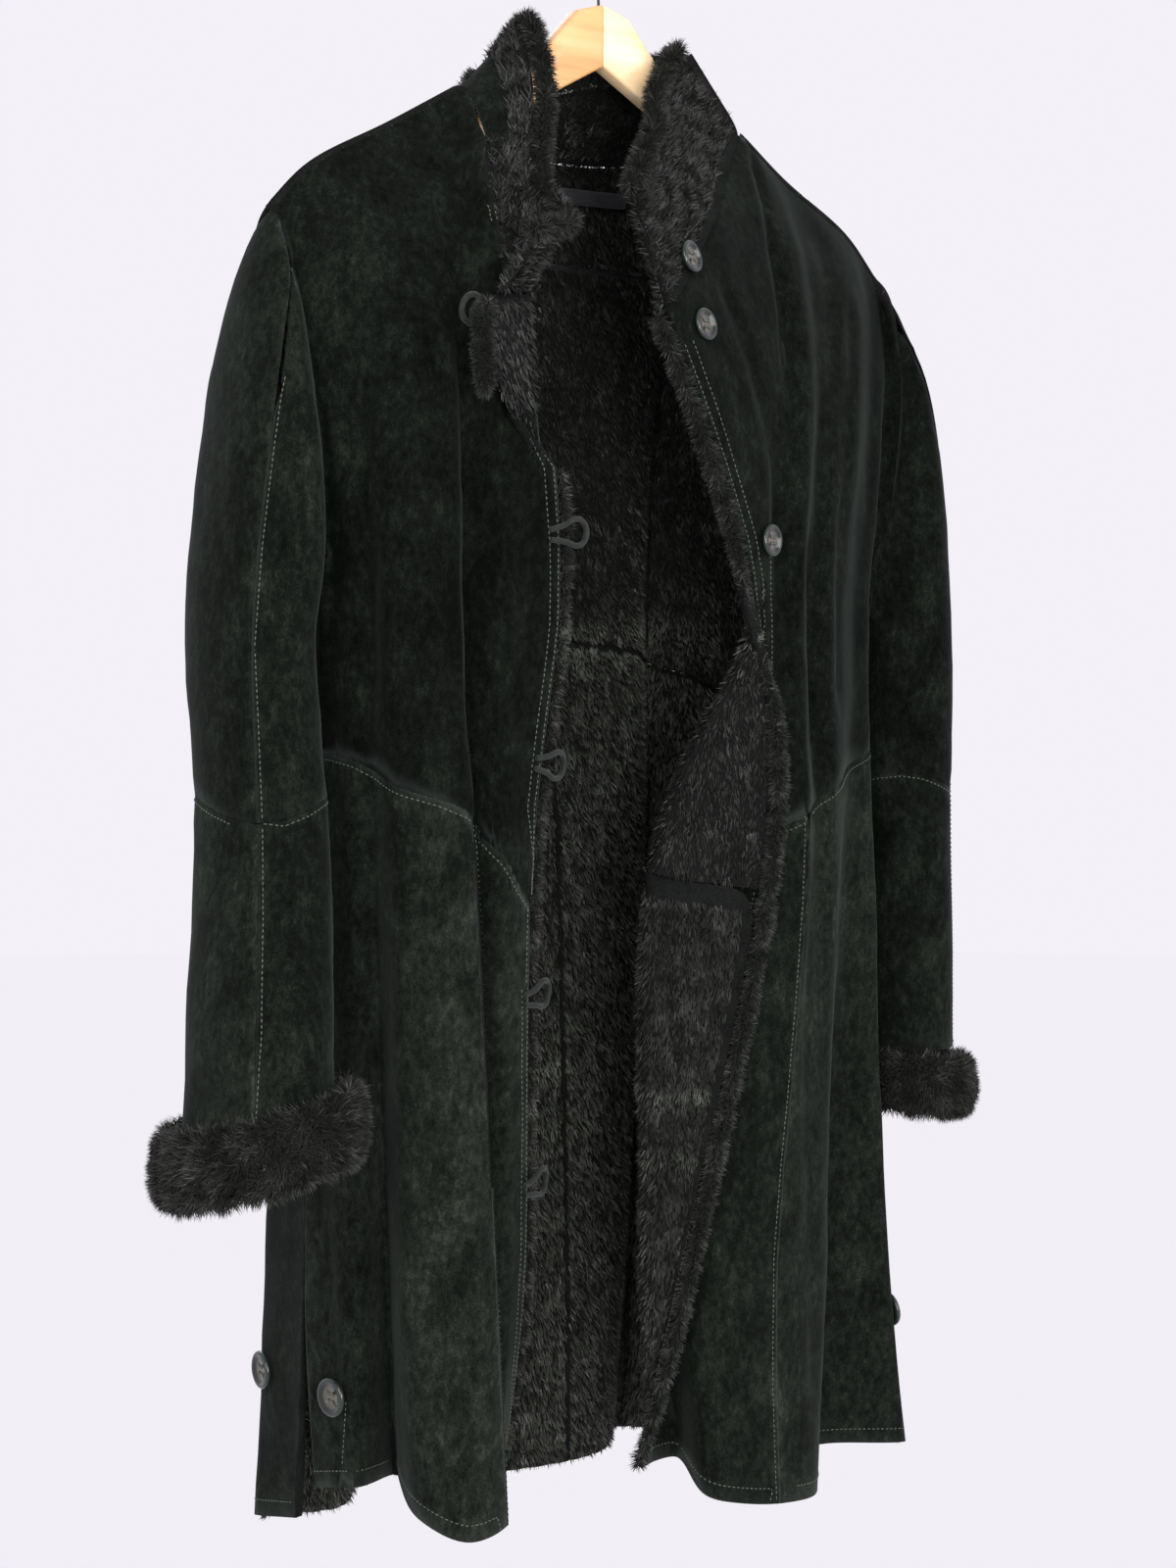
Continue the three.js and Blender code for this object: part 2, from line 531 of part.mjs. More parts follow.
function solidOf(geometry) {
  const bare = new THREE.BufferGeometry().setAttribute("position", geometry.getAttribute("position"));
  const merged = mergeVertices(bare.setIndex(geometry.index), 1e-4);
  const triVerts = new Uint32Array(merged.index.array);
  const vertProperties = merged.attributes.position.array;
  return new wasm.Manifold(new wasm.Mesh({ numProp: 3, vertProperties, triVerts }));
}

// The largest body of a cut solid, without the slivers that a cut leaves.
function geometryOf(solid) {
  const bodies = solid.simplify(CUT_TOLERANCE).decompose().sort((a, b) => b.volume() - a.volume());
  const { vertProperties, triVerts } = bodies[0].getMesh();
  const geometry = new THREE.BufferGeometry();
  geometry.setAttribute("position", new THREE.BufferAttribute(vertProperties, 3));
  geometry.setIndex(new THREE.BufferAttribute(triVerts, 1));
  geometry.computeVertexNormals();
  return geometry;
}

// Where cloth is pressed against its neighbour at a seam, the first piece gives way to the second.
const PRESSED = [
  ["collar", "front_upper_left"],
  ["collar", "front_upper_right"],
  ["sleeve_upper_back_left", "front_upper_left"],
  ["sleeve_upper_front_left", "front_upper_left"],
  ["sleeve_upper_front_right", "front_upper_right"],
  ["back_lower_right", "back_upper"],
  ["front_centre_lower_right", "front_upper_right"],
];
const walls = {};
for (const { name, grid, material, wall } of patches) {
  const points = drawnIn(grid);
  walls[name] = { grid, wall, geometry: shellGeometry(points, layer(grid, points, wall)), material };
}
for (const [name, neighbour] of PRESSED) {
  const { grid, wall } = walls[neighbour];
  const cutter = shellGeometry(layer(grid, grid, -SEAM_GAP), layer(grid, grid, wall + SEAM_GAP));
  const left = solidOf(walls[name].geometry).subtract(solidOf(cutter));
  walls[name].geometry = geometryOf(left.subtract(solidOf(walls[neighbour].geometry)));
}
for (const [name, { geometry, material }] of Object.entries(walls)) add(name, geometry, material.clone());

// A round cord or roll of pile along a line of points.
function roll(points, radius, steps, sides) {
  const shape = new THREE.Shape(
    Array.from({ length: sides }, (_, i) => {
      const angle = (2 * Math.PI * i) / sides;
      return new THREE.Vector2(radius * Math.cos(angle), radius * Math.sin(angle));
    }),
  );
  const extrudePath = new THREE.CatmullRomCurve3(points, false, "centripetal");
  return new THREE.ExtrudeGeometry(shape, { steps, extrudePath, bevelEnabled: false });
}

// Pile that stands out past the front edges and the top of the collar: a round section at each point
// of the edge, clear of the wall by a seam gap.
const RIM_SIDES = 6;
function rim(edge, next, wall, radius) {
  const positions = [];
  const index = [];
  edge.forEach((p, j) => {
    const along = edge[Math.min(j + 1, edge.length - 1)].clone().sub(edge[Math.max(j - 1, 0)]).normalize();
    const out = p.clone().sub(next[j]);
    out.addScaledVector(along, -out.dot(along)).normalize();
    const normal = normalAt(p);
    normal.addScaledVector(out, -normal.dot(out)).normalize();
    const centre = p.clone().addScaledVector(normalAt(p), -wall / 2).addScaledVector(out, radius + RIM_GAP);
    for (let k = 0; k < RIM_SIDES; k++) {
      const angle = (2 * Math.PI * k) / RIM_SIDES;
      const q = centre.clone().addScaledVector(out, radius * Math.cos(angle));
      q.addScaledVector(normal, radius * Math.sin(angle));
      positions.push(q.x, q.y, q.z);
    }
  });
  const last = (edge.length - 1) * RIM_SIDES;
  for (let k = 0; k < RIM_SIDES; k++) {
    const n = (k + 1) % RIM_SIDES;
    for (let base = 0; base < last; base += RIM_SIDES) {
      const after = base + RIM_SIDES;
      index.push(base + k, after + n, base + n, base + k, after + k, after + n);
    }
    if (k > 0 && n > 0) index.push(0, k, n, last, last + n, last + k);
  }
  const geometry = new THREE.BufferGeometry();
  geometry.setAttribute("position", new THREE.Float32BufferAttribute(positions, 3));
  const volume = solidOf(geometry.setIndex(index)).volume();
  if (volume < 0) geometry.setIndex(index.map((_, i) => index[i - (i % 3) + [0, 2, 1][i % 3]]));
  geometry.computeVertexNormals();
  return geometry;
}
const rightLast = RIGHT.length - 1;
// The left edge turns over below the neck, so its pile is in two rolls.
const turned = LEFT[0].findIndex((p, j) => p.x < LEFT[1][j].x);
const part = (column, from, to) => column.slice(from, to);
const below = [LEFT[0], LEFT[1]].map((column) => part(column, 0, turned));
const above = [LEFT[0], LEFT[1]].map((column) => part(column, turned));
add("fur_edge_left", rim(...below, WALL, RIM_RADIUS), fur.clone());
add("fur_edge_revers", rim(...above, WALL, RIM_RADIUS), fur.clone());
add("fur_edge_right", rim(RIGHT[rightLast], RIGHT[rightLast - 1], WALL, RIM_RADIUS), fur.clone());
const collarTop = collarGrid.map((column) => column[COLLAR_ROWS]);
const collarBelow = collarGrid.map((column) => column[COLLAR_ROWS - 1]);
add("fur_edge_collar", rim(collarTop, collarBelow, COLLAR_WALL, COLLAR_RIM_RADIUS), fur.clone());

// Turned-up cuffs: out is the distance from the sleeve, z the height from the cuff's top.
const CUFF_PROFILE = [
  { out: 0, z: -2 },
  { out: 7, z: 3 },
  { out: 13, z: -4 },
  { out: 15, z: -18 },
  { out: 14, z: -34 },
  { out: 8, z: -44 },
  { out: 1, z: -43 },
  { out: 0, z: -28 },
];
const CUFFS = {
  "-1": { top: -750, tilt: { body: 0.26, front: 0.2 } },
  "1": { top: -777, tilt: { body: 0.14, front: 0 } },
};
const CUFF_COLUMNS = 20;
const CUFF_CLEARANCE = 1.2;
for (const side of [-1, 1]) {
  const [above, end] = ARM_RINGS[side].slice(-2);
  const { top, tilt } = CUFFS[side];
  const positions = [];
  const index = [];
  const count = CUFF_PROFILE.length;
  for (let i = 0; i < CUFF_COLUMNS; i++) {
    const angle = (2 * Math.PI * i) / CUFF_COLUMNS;
    for (const { out, z } of CUFF_PROFILE) {
      const rise = -tilt.body * end.half[0] * Math.cos(angle) - tilt.front * end.half[1] * Math.sin(angle);
      const height = top + z + rise;
      const f = (height - above.z) / (end.z - above.z);
      const spread = out + CUFF_CLEARANCE;
      const x = mix(above.centre[0], end.centre[0], f) + (end.half[0] + spread) * Math.cos(angle);
      const y = mix(above.centre[1], end.centre[1], f) + (end.half[1] + spread) * Math.sin(angle);
      positions.push(side * x, y, height);
    }
  }
  for (let i = 0; i < CUFF_COLUMNS; i++) {
    for (let j = 0; j < count; j++) {
      const a = i * count + j;
      const b = i * count + ((j + 1) % count);
      const c = ((i + 1) % CUFF_COLUMNS) * count + ((j + 1) % count);
      const d = ((i + 1) % CUFF_COLUMNS) * count + j;
      if (side < 0) index.push(a, c, b, a, d, c);
      else index.push(a, b, c, a, c, d);
    }
  }
  const geometry = new THREE.BufferGeometry();
  geometry.setAttribute("position", new THREE.Float32BufferAttribute(positions, 3));
  geometry.setIndex(index);
  geometry.computeVertexNormals();
  add(side < 0 ? "cuff_left" : "cuff_right", geometry, fur.clone());
}

// The place on a patch nearest to a target, with the outward normal there.
function seat(grid, target) {
  const best = { distance: Infinity };
  const parts = 8;
  for (let i = 0; i + 1 < grid.length; i++) {
    for (let j = 0; j + 1 < grid[0].length; j++) {
      for (let s = 0; s <= parts; s++) {
        for (let t = 0; t <= parts; t++) {
          const low = grid[i][j].clone().lerp(grid[i + 1][j], s / parts);
          const point = low.lerp(grid[i][j + 1].clone().lerp(grid[i + 1][j + 1], s / parts), t / parts);
          const distance = point.distanceTo(target);
          if (distance >= best.distance) continue;
          Object.assign(best, { distance, point, i, j, s: s / parts, t: t / parts });
        }
      }
    }
  }
  const { i, j, s, t } = best;
  const low = normalAt(grid[i][j]).lerp(normalAt(grid[i + 1][j]), s);
  best.normal = low.lerp(normalAt(grid[i][j + 1]).lerp(normalAt(grid[i + 1][j + 1]), s), t).normalize();
  return best;
}

// Buttons: a turned disc with a raised rim on a short thread shank.
const BUTTON_SIDES = 12;
function buttonGeometry(radius) {
  const profile = [
    [0, 0],
    [0.22, 0],
    [0.2, 0.16],
    [0.82, 0.18],
    [1, 0.32],
    [0.9, 0.5],
    [0.68, 0.4],
    [0, 0.38],
  ];
  const points = profile.map(([r, h]) => new THREE.Vector2(r * radius, h * radius));
  return new THREE.LatheGeometry(points, BUTTON_SIDES).rotateX(Math.PI / 2);
}
const BUTTONS = [
  { name: "button_collar", on: "collar", target: [13, -75, -243] },
  { name: "button_front_1", on: "front_upper_right", target: [18, -90, -285] },
  { name: "button_front_2", on: "front_upper_right", target: [72, -90, -418] },
  { name: "button_front_3", on: "front_upper_right", target: [44, -66, -555] },
  { name: "button_front_4", on: "front_centre_lower_right", target: [30, -76, -696] },
  { name: "button_front_5", on: "front_centre_lower_right", target: [10, -70, -816] },
  { name: "button_vent_front_left", on: "front_side_lower_left", target: [-212, -16, -936] },
  { name: "button_vent_back_left", on: "back_lower_left", target: [-212, 66, -936] },
  { name: "button_vent_front_right", on: "front_side_lower_right", target: [242, -30, -950] },
  { name: "button_vent_back_right", on: "back_lower_right", target: [236, 50, -950] },
];
const BUTTON_CLEARANCE = 0.3;
const patchNamed = (name) => patches.find((p) => p.name === name);
for (const { name, on, target } of BUTTONS) {
  const radius = name.includes("vent") ? VENT_BUTTON_RADIUS : BUTTON_RADIUS;
  const { point, normal } = seat(patchNamed(on).grid, vec(...target));
  point.addScaledVector(normal, BUTTON_CLEARANCE);
  const mesh = add(name, buttonGeometry(radius), horn.clone(), point.toArray());
  mesh.quaternion.setFromUnitVectors(vec(0, 0, 1), normal);
}

// Leather cord loops: out is the way past the edge, lift the way off the leather, up along the edge.
const LOOP = [
  { out: -11, lift: 2.6, up: 3 },
  { out: -2, lift: 5.4, up: 5 },
  { out: 8, lift: 6.2, up: 8 },
  { out: 15, lift: 5.4, up: 5 },
  { out: 17, lift: 5.2, up: 0 },
  { out: 15, lift: 5.4, up: -5 },
  { out: 8, lift: 6.2, up: -8 },
  { out: -2, lift: 5.4, up: -5 },
  { out: -11, lift: 2.6, up: -3 },
];
const CORD_STEPS = 12;
const CORD_SIDES = 5;
const LOOP_HEIGHTS = [-292, -418, -555, -696, -816];
LOOP_HEIGHTS.forEach((z, n) => {
  const edge = LEFT[0];
  const j = edge.findIndex((p, i) => i + 1 < edge.length && p.z <= z && edge[i + 1].z > z);
  const at = j < 0 ? edge.length - 2 : j;
  const f = THREE.MathUtils.clamp((z - edge[at].z) / (edge[at + 1].z - edge[at].z), 0, 1);
  const p = edge[at].clone().lerp(edge[at + 1], f);
  const inside = LEFT[1][at].clone().lerp(LEFT[1][at + 1], f);
  const up = edge[at + 1].clone().sub(edge[at]).normalize();
  const normal = normalAt(edge[at]).lerp(normalAt(edge[at + 1]), f).normalize();
  const out = p.clone().sub(inside).addScaledVector(up, -p.clone().sub(inside).dot(up)).normalize();
  const points = LOOP.map((row) =>
    p.clone().addScaledVector(out, row.out).addScaledVector(normal, row.lift).addScaledVector(up, row.up),
  );
  add(`loop_${n + 1}`, roll(points, CORD_RADIUS, CORD_STEPS, CORD_SIDES), suede.clone());
});

// A flat strip inside the coat that lies on the linings of one or two patches.
const TAB_CLEARANCE = 0.6;
const TAB_THICKNESS = 2.6;
const atLevel = (grid, i, z) => {
  const column = grid[i];
  const j = Math.max(0, column.findIndex((p, n) => n + 1 < column.length && column[n + 1].z >= z));
  const f = (z - column[j].z) / (column[j + 1].z - column[j].z);
  const normal = normalAt(column[j]).lerp(normalAt(column[j + 1]), f).normalize();
  return { point: column[j].clone().lerp(column[j + 1], f), normal };
};
function strip(name, places, levels, material) {
  const rows = places.map(([grid, i]) => levels.map((z) => atLevel(grid, i, z)));
  const sunk = ({ point, normal }, depth) => point.clone().addScaledVector(normal, -depth);
  const at = (depth) => rows.map((row) => row.map((place) => sunk(place, depth)));
  const top = WALL + TAB_CLEARANCE;
  add(name, shellGeometry(at(top), at(top + TAB_THICKNESS)), material.clone());
}
const TAB_LEVELS = [-951, -938, -925];
const end = (grid, back) => grid.length - 1 - back;
const firstColumns = (grid) => [[grid, 0], [grid, 1], [grid, 2]];
const lastColumns = (grid) => [[grid, end(grid, 2)], [grid, end(grid, 1)], [grid, end(grid, 0)]];
const leftFlaps = [...lastColumns(LEFT), ...firstColumns(REAR)];
const rightFlaps = [...lastColumns(REAR), ...firstColumns(RIGHT)];
strip("vent_tab_left", leftFlaps, TAB_LEVELS, suede);
strip("vent_tab_right", rightFlaps, TAB_LEVELS, suede);
const napeColumns = Array.from({ length: 3 }, (_, i) => [REAR, centreBack + i]);
strip("hang_loop", napeColumns, [-190, -180], satin);

// Hanger: two arms mitred at the centre, a wire hook and a bar between the arms.
const ARM_TOP = [
  [0, -75], [20, -81], [40, -103], [60, -129], [85, -151], [110, -166], [160, -191], [205, -218],
];
const ARM_UNDER = [[205, -230], [160, -207], [110, -182], [60, -147], [0, -114.5]];
const ARM_THICKNESS = 12;
const ARM_Y = 2;
function armGeometry(side) {
  const outline = [...ARM_TOP, ...ARM_UNDER].map(([x, z]) => new THREE.Vector2(side * (x + SEAM_GAP / 2), z));
  const shape = new THREE.Shape(outline);
  const geometry = new THREE.ExtrudeGeometry(shape, { depth: ARM_THICKNESS, bevelEnabled: false });
  return geometry.rotateX(Math.PI / 2).translate(0, ARM_Y + ARM_THICKNESS / 2, 0);
}
add("hanger_arm_left", armGeometry(-1), wood.clone());
add("hanger_arm_right", armGeometry(1), wood.clone());
const HOOK_INNER_RADIUS = 20;
const HOOK_WIRE_RADIUS = 1;
const HOOK_START = -50; // degrees round the hook from +X
const HOOK_END = 205;
const WIRE_STEPS = 24;
const hookTurn = Array.from({ length: 13 }, (_, i) => {
  const angle = THREE.MathUtils.degToRad(mix(HOOK_START, HOOK_END, i / 12));
  const radius = HOOK_INNER_RADIUS + HOOK_WIRE_RADIUS;
  return vec(radius * Math.cos(angle), ARM_Y, -HOOK_INNER_RADIUS + radius * Math.sin(angle));
});
const shank = [vec(0, ARM_Y, ARM_TOP[0][1] + SEAM_GAP), vec(0, ARM_Y, -60), vec(2, ARM_Y, -48)];
add("hanger_hook", roll([...shank, ...hookTurn], HOOK_WIRE_RADIUS, WIRE_STEPS, 5), wire.clone());
const BAR_RADIUS = 2;
const BAR_END = [[190, -225.5], [190, -231], [185, -237], [176, -240]];
const bar = [...BAR_END.map(([x, z]) => [-x, z]), ...[...BAR_END].reverse()];
add("hanger_bar", roll(bar.map(([x, z]) => vec(x, ARM_Y, z)), BAR_RADIUS, WIRE_STEPS, 6), steel.clone());

export default group;
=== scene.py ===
"""Three-quarter-length shearling coat, suede outside and pile inside, hung open on a wooden hanger."""
import math
import bmesh
import bpy
import numpy as np
from mathutils import Matrix, Vector
from mathutils.bvhtree import BVHTree
from mathutils.kdtree import KDTree


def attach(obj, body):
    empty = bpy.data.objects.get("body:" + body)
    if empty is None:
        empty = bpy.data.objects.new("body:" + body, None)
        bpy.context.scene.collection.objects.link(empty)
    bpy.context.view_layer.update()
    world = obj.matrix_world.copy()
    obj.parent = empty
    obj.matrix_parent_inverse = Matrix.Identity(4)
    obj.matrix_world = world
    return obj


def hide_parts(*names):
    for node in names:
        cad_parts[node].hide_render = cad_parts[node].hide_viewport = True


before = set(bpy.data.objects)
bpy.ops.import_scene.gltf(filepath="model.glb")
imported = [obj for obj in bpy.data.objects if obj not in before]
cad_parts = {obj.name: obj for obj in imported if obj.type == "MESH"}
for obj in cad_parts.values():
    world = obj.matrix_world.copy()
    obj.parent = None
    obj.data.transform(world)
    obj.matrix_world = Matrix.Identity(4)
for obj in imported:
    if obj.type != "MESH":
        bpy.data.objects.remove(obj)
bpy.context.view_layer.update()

# ---- Studio
# The camera stands to the left of the coat's front, half way down it, and looks slightly down. A pale
# floor runs out to a pale room of the same tone, with large soft lamps in front, behind and beside.
camera = bpy.data.objects.new("camera", bpy.data.cameras.new("camera"))
bpy.context.collection.objects.link(camera)
camera.location = (-0.994, -1.306, -0.487)
camera.rotation_euler = (math.radians(86.95), 0, math.radians(-37))
camera.data.sensor_width = 36
camera.data.lens = 57.94
bpy.context.scene.camera = camera
bpy.context.scene.view_settings.view_transform = "Standard"

ROOM_TONE = (0.90, 0.872, 0.935)
room = bpy.data.worlds.new("room")
room.use_nodes = True
room.node_tree.nodes["Background"].inputs["Color"].default_value = (*ROOM_TONE, 1)
room.node_tree.nodes["Background"].inputs["Strength"].default_value = 1.0
bpy.context.scene.world = room

LAMPS = (  # name, place, aimed at, width, height, watts
    ("lamp_left", (-2.3, -1.6, 0.5), (0, 0, -0.5), 1.1, 1.6, 40),
    ("lamp_right", (1.3, -2.3, 0.1), (0.1, 0, -0.7), 1.0, 1.6, 26),
    ("lamp_front", (-0.9, -2.1, -0.5), (0, 0, -0.7), 0.7, 1.0, 34),
    ("lamp_behind", (0.6, 2.2, 0.6), (0, 0, -0.4), 1.6, 1.2, 16),
)
for name, place, aim, width, height, watts in LAMPS:
    light = bpy.data.lights.new(name, "AREA")
    light.shape = "RECTANGLE"
    light.size, light.size_y, light.energy = width, height, watts
    lamp = bpy.data.objects.new(name, light)
    lamp.location = place
    lamp.rotation_euler = (Vector(aim) - Vector(place)).to_track_quat("-Z", "Y").to_euler()
    bpy.context.collection.objects.link(lamp)


def new_material(name, **inputs):
    """A Principled material; a name such as base_color sets the socket Base Color."""
    material = bpy.data.materials.new(name)
    material.use_nodes = True
    shader = material.node_tree.nodes["Principled BSDF"]
    for key, value in inputs.items():
        socket = next(s for s in shader.inputs if s.name.lower().replace(" ", "_") == key)
        socket.default_value = (*value, 1) if isinstance(value, tuple) else value
    return material, material.node_tree, shader


def wire_up(tree, kind, links=(), **settings):
    """A new node. links are (input, socket) pairs; settings are the node's own values or its inputs'."""
    node = tree.nodes.new(kind)
    for key, value in settings.items():
        if hasattr(node, key):
            setattr(node, key, value)
        else:
            node.inputs[key.replace("_", " ")].default_value = value
    for key, socket in links:
        tree.links.new(socket, node.inputs[key])
    return node


def speckle(tree, scale, detail=3.0, stretch=(1, 1, 1), rough=0.55):
    """Noise on the object's own coordinates, in metres, as a socket from 0 to 1."""
    place = wire_up(tree, "ShaderNodeTexCoord").outputs["Object"]
    turned = wire_up(tree, "ShaderNodeMapping", [("Vector", place)], Scale=stretch)
    grain = wire_up(tree, "ShaderNodeTexNoise", [("Vector", turned.outputs[0])],
                    Scale=scale, Detail=detail, Roughness=rough)
    return grain.outputs["Fac"]


def sum_of(tree, *terms):
    """Adds sockets, each times its weight."""
    total = None
    for socket, weight in terms:
        part = wire_up(tree, "ShaderNodeMath", [(0, socket)], operation="MULTIPLY")
        part.inputs[1].default_value = weight
        if total is None:
            total = part.outputs[0]
        else:
            both = wire_up(tree, "ShaderNodeMath", [(0, total), (1, part.outputs[0])], operation="ADD")
            total = both.outputs[0]
    return total


def tones(tree, socket, *stops):
    """A colour ramp of (place, colour) stops."""
    ramp = wire_up(tree, "ShaderNodeValToRGB", [("Fac", socket)])
    elements = ramp.color_ramp.elements
    while len(elements) < len(stops):
        elements.new(0.5)
    for element, (place, colour) in zip(elements, stops):
        element.position, element.color = place, (*colour, 1)
    return ramp.outputs["Color"]


def relief(tree, shader, socket, strength, distance):
    """Small bumps that follow the socket, that many metres high."""
    bump = wire_up(tree, "ShaderNodeBump", [("Height", socket)], Strength=strength, Distance=distance)
    tree.links.new(bump.outputs["Normal"], shader.inputs["Normal"])


def attribute(tree, name):
    """A value stored on the mesh's vertices, as a socket."""
    return wire_up(tree, "ShaderNodeAttribute", attribute_name=name).outputs["Fac"]


FLOOR_HEIGHT = -1.75
floor_mesh = bmesh.new()
bmesh.ops.create_circle(floor_mesh, cap_ends=True, segments=64, radius=9)
bmesh.ops.translate(floor_mesh, vec=(0, 0, FLOOR_HEIGHT), verts=floor_mesh.verts)
floor = bpy.data.objects.new("floor", bpy.data.meshes.new("floor"))
floor_mesh.to_mesh(floor.data)
bpy.context.collection.objects.link(floor)
pale_floor = new_material(
    "pale_floor", base_color=(0.0, 0.0, 0.0), roughness=1.0, specular_ior_level=0.0,
    emission_color=ROOM_TONE, emission_strength=0.985,
)[0]
floor.data.materials.append(pale_floor)

# ---- Leather panels
# The coat is cut from double-face sheepskin: napped leather outside, clipped pile inside. Each panel
# keeps its solid's form, smoothed, with a wall of leather and pile roots; the pile tips are added below.
PANELS = {  # name: (flat width, flat length, flat area, tone of the skin with painted light, higher on the lower panels and the left sleeve as if more light fell there)
    "front_upper_left": (0.32, 0.5, 0.0755, 0.0),
    "front_centre_lower_left": (0.11, 0.43, 0.035, 0.12),
    "front_side_lower_left": (0.25, 0.46, 0.0765, 0.16),
    "back_upper": (0.57, 0.39, 0.183, 0.0),
    "back_lower_left": (0.33, 0.57, 0.1656, 0.05),
    "back_lower_right": (0.32, 0.57, 0.156, 0.03),
    "front_upper_right": (0.37, 0.48, 0.106, -0.04),
    "front_side_lower_right": (0.24, 0.5, 0.0975, 0.13),
    "front_centre_lower_right": (0.19, 0.44, 0.0655, 0.06),
    "collar": (0.5, 0.09, 0.036, 0.02),
    "sleeve_upper_front_left": (0.17, 0.36, 0.029, 0.10),
    "sleeve_lower_front_left": (0.16, 0.21, 0.029, 0.08),
    "sleeve_upper_back_left": (0.26, 0.36, 0.046, 0.10),
    "sleeve_lower_back_left": (0.16, 0.21, 0.029, 0.12),
    "sleeve_upper_front_right": (0.17, 0.36, 0.029, 0.0),
    "sleeve_lower_front_right": (0.16, 0.21, 0.029, 0.03),
    "sleeve_upper_back_right": (0.26, 0.36, 0.046, 0.0),
    "sleeve_lower_back_right": (0.16, 0.21, 0.029, 0.05),
}
THICKEST = 0.0125  # a wall is thinner than this between its two faces
PILE_ROOTS = 0.0024  # how far the solid's pile face is drawn back for the tips that are added
GROOVE = 0.0005  # depth that a seam pulls its two edges in
ROLLED_OVER = ((-0.10, -0.03, 0.02, 0.06), (0.030, 0.014, 0.012, 0.016))  # the collar's fur: at x, how wide
GROOVE_WIDTH = 0.003
SEAM_CLOSE = 0.0004  # how far each edge of a seam is drawn to the other
CLOSE_WIDTH = 0.0015
STIFF_BORDER = 0.012  # beside its rim, a panel keeps the form of its solid
WORN_WIDTH = 0.0035  # rubbed lighter along a rim
FOLD_ANGLE = math.radians(60)  # an edge sharper than this is a rim of the wall
RUN_ON_ANGLE = math.radians(52)  # across an edge flatter than this, a wall's face runs on
SAME_WALL_ANGLE = math.radians(80)
FACE_FORWARD = ("front_centre_lower_left", "front_upper_left")  # their leather looks to -Y as a whole
SEAM_REACH = 0.0022  # two rims nearer than this are sewn together


def axis_point(name, at):
    """The middle of the body, or of a sleeve, at that height."""
    if not name.startswith("sleeve"):
        return Vector((0, 0.01, at.z))
    side = -1 if name.endswith("left") else 1
    down = min(1, max(0, (-0.36 - at.z) / 0.4))
    return Vector((side * (0.233 + 0.042 * down), 0.002 + side * 0.03 * down, min(at.z, -0.36)))


def merged(name):
    """A copy of the solid with its doubled vertices merged."""
    copy = bmesh.new()
    copy.from_mesh(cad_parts[name].data)
    bmesh.ops.remove_doubles(copy, verts=copy.verts, dist=2e-5)
    return copy


def walls_of(name):
    """The merged solid, and for each face +1 on the leather side, -1 on the pile side or 0 on an edge."""
    shell = merged(name)
    bmesh.ops.dissolve_degenerate(shell, dist=1e-6, edges=shell.edges)
    shell.normal_update()
    shell.faces.ensure_lookup_table()
    tree = BVHTree.FromBMesh(shell)
    facing = {}
    for face in shell.faces:
        start = face.calc_center_median() - face.normal * 1e-4
        normal, index = tree.ray_cast(start, -face.normal, THICKEST)[1:3]
        if index is not None and normal.dot(face.normal) < -0.5:
            facing[face.index] = index

    def outward(face):
        middle = face.calc_center_median()
        out = (middle - axis_point(name, middle)).normalized()
        if name in FACE_FORWARD:
            out = Vector((0, -1, 0))
        return face.calc_area() * face.normal.dot(out)

    def spread_out(side):
        """Faces in the tightest folds take the side of the faces that they run on from."""
        front = list(side)
        while front:
            face = shell.faces[front.pop(0)]
            for edge in face.edges:
                if len(edge.link_faces) != 2 or edge.calc_face_angle(0) > RUN_ON_ANGLE:
                    continue
                for other in edge.link_faces:
                    if other.index not in side:
                        side[other.index] = side[face.index]
                        front.append(other.index)
        return [side.get(f.index, 0) for f in shell.faces]

    side = {}
    if name.startswith("sleeve"):
        side = {k: 1 if outward(shell.faces[k]) > 0 else -1 for k in facing}
        return shell, spread_out(side)
    groups, seen = [], set()
    for first in facing:
        if first in seen:
            continue
        stack, group = [first], []
        seen.add(first)
        while stack:
            face = shell.faces[stack.pop()]
            group.append(face)
            for edge in face.edges:
                if len(edge.link_faces) != 2 or edge.calc_face_angle(0) > SAME_WALL_ANGLE:
                    continue
                for other in edge.link_faces:
                    if other.index in facing and other.index not in seen:
                        seen.add(other.index)
                        stack.append(other.index)
        groups.append(group)
    groups.sort(key=lambda group: -sum(f.calc_area() for f in group))
    for group in groups:
        vote = -sum(f.calc_area() * side.get(facing[f.index], 0) for f in group)
        if not side:
            vote = sum(outward(f) for f in group)
        side.update({f.index: 1 if vote > 0 else -1 for f in group})
    return shell, spread_out(side)


panels = {}
for name in PANELS:
    shell, sides = walls_of(name)
    mark = shell.faces.layers.int.new("side")
    for face, value in zip(shell.faces, sides):
        face[mark] = value
    crease = shell.edges.layers.float.new("crease_edge")
    rim = []
    for edge in shell.edges:
        if len(edge.link_faces) != 2 or edge.calc_face_angle(0) < FOLD_ANGLE:
            continue
        both = [f[mark] for f in edge.link_faces]
        if 0 in both or sum(both) == 0:
            edge[crease] = 1.0
        if 1 in both and both != [1, 1]:
            rim.append(edge)
    panels[name] = dict(shell=shell, rim=rim, mark=mark)

# Where the rim of one panel runs beside another panel's, there is a seam.
rim_points = [(name, v.co.copy()) for name, p in panels.items() for edge in p["rim"] for v in edge.verts]
rim_finder = KDTree(len(rim_points))
for index, (name, point) in enumerate(rim_points):
    rim_finder.insert(point, index)
rim_finder.balance()


def neighbour_at(name, point):
    """The panel that is sewn to this one at that point of its rim, or free."""
    for _, index, _ in rim_finder.find_range(point, SEAM_REACH):
        if rim_points[index][0] != name:
            return rim_points[index][0]
    return "free"
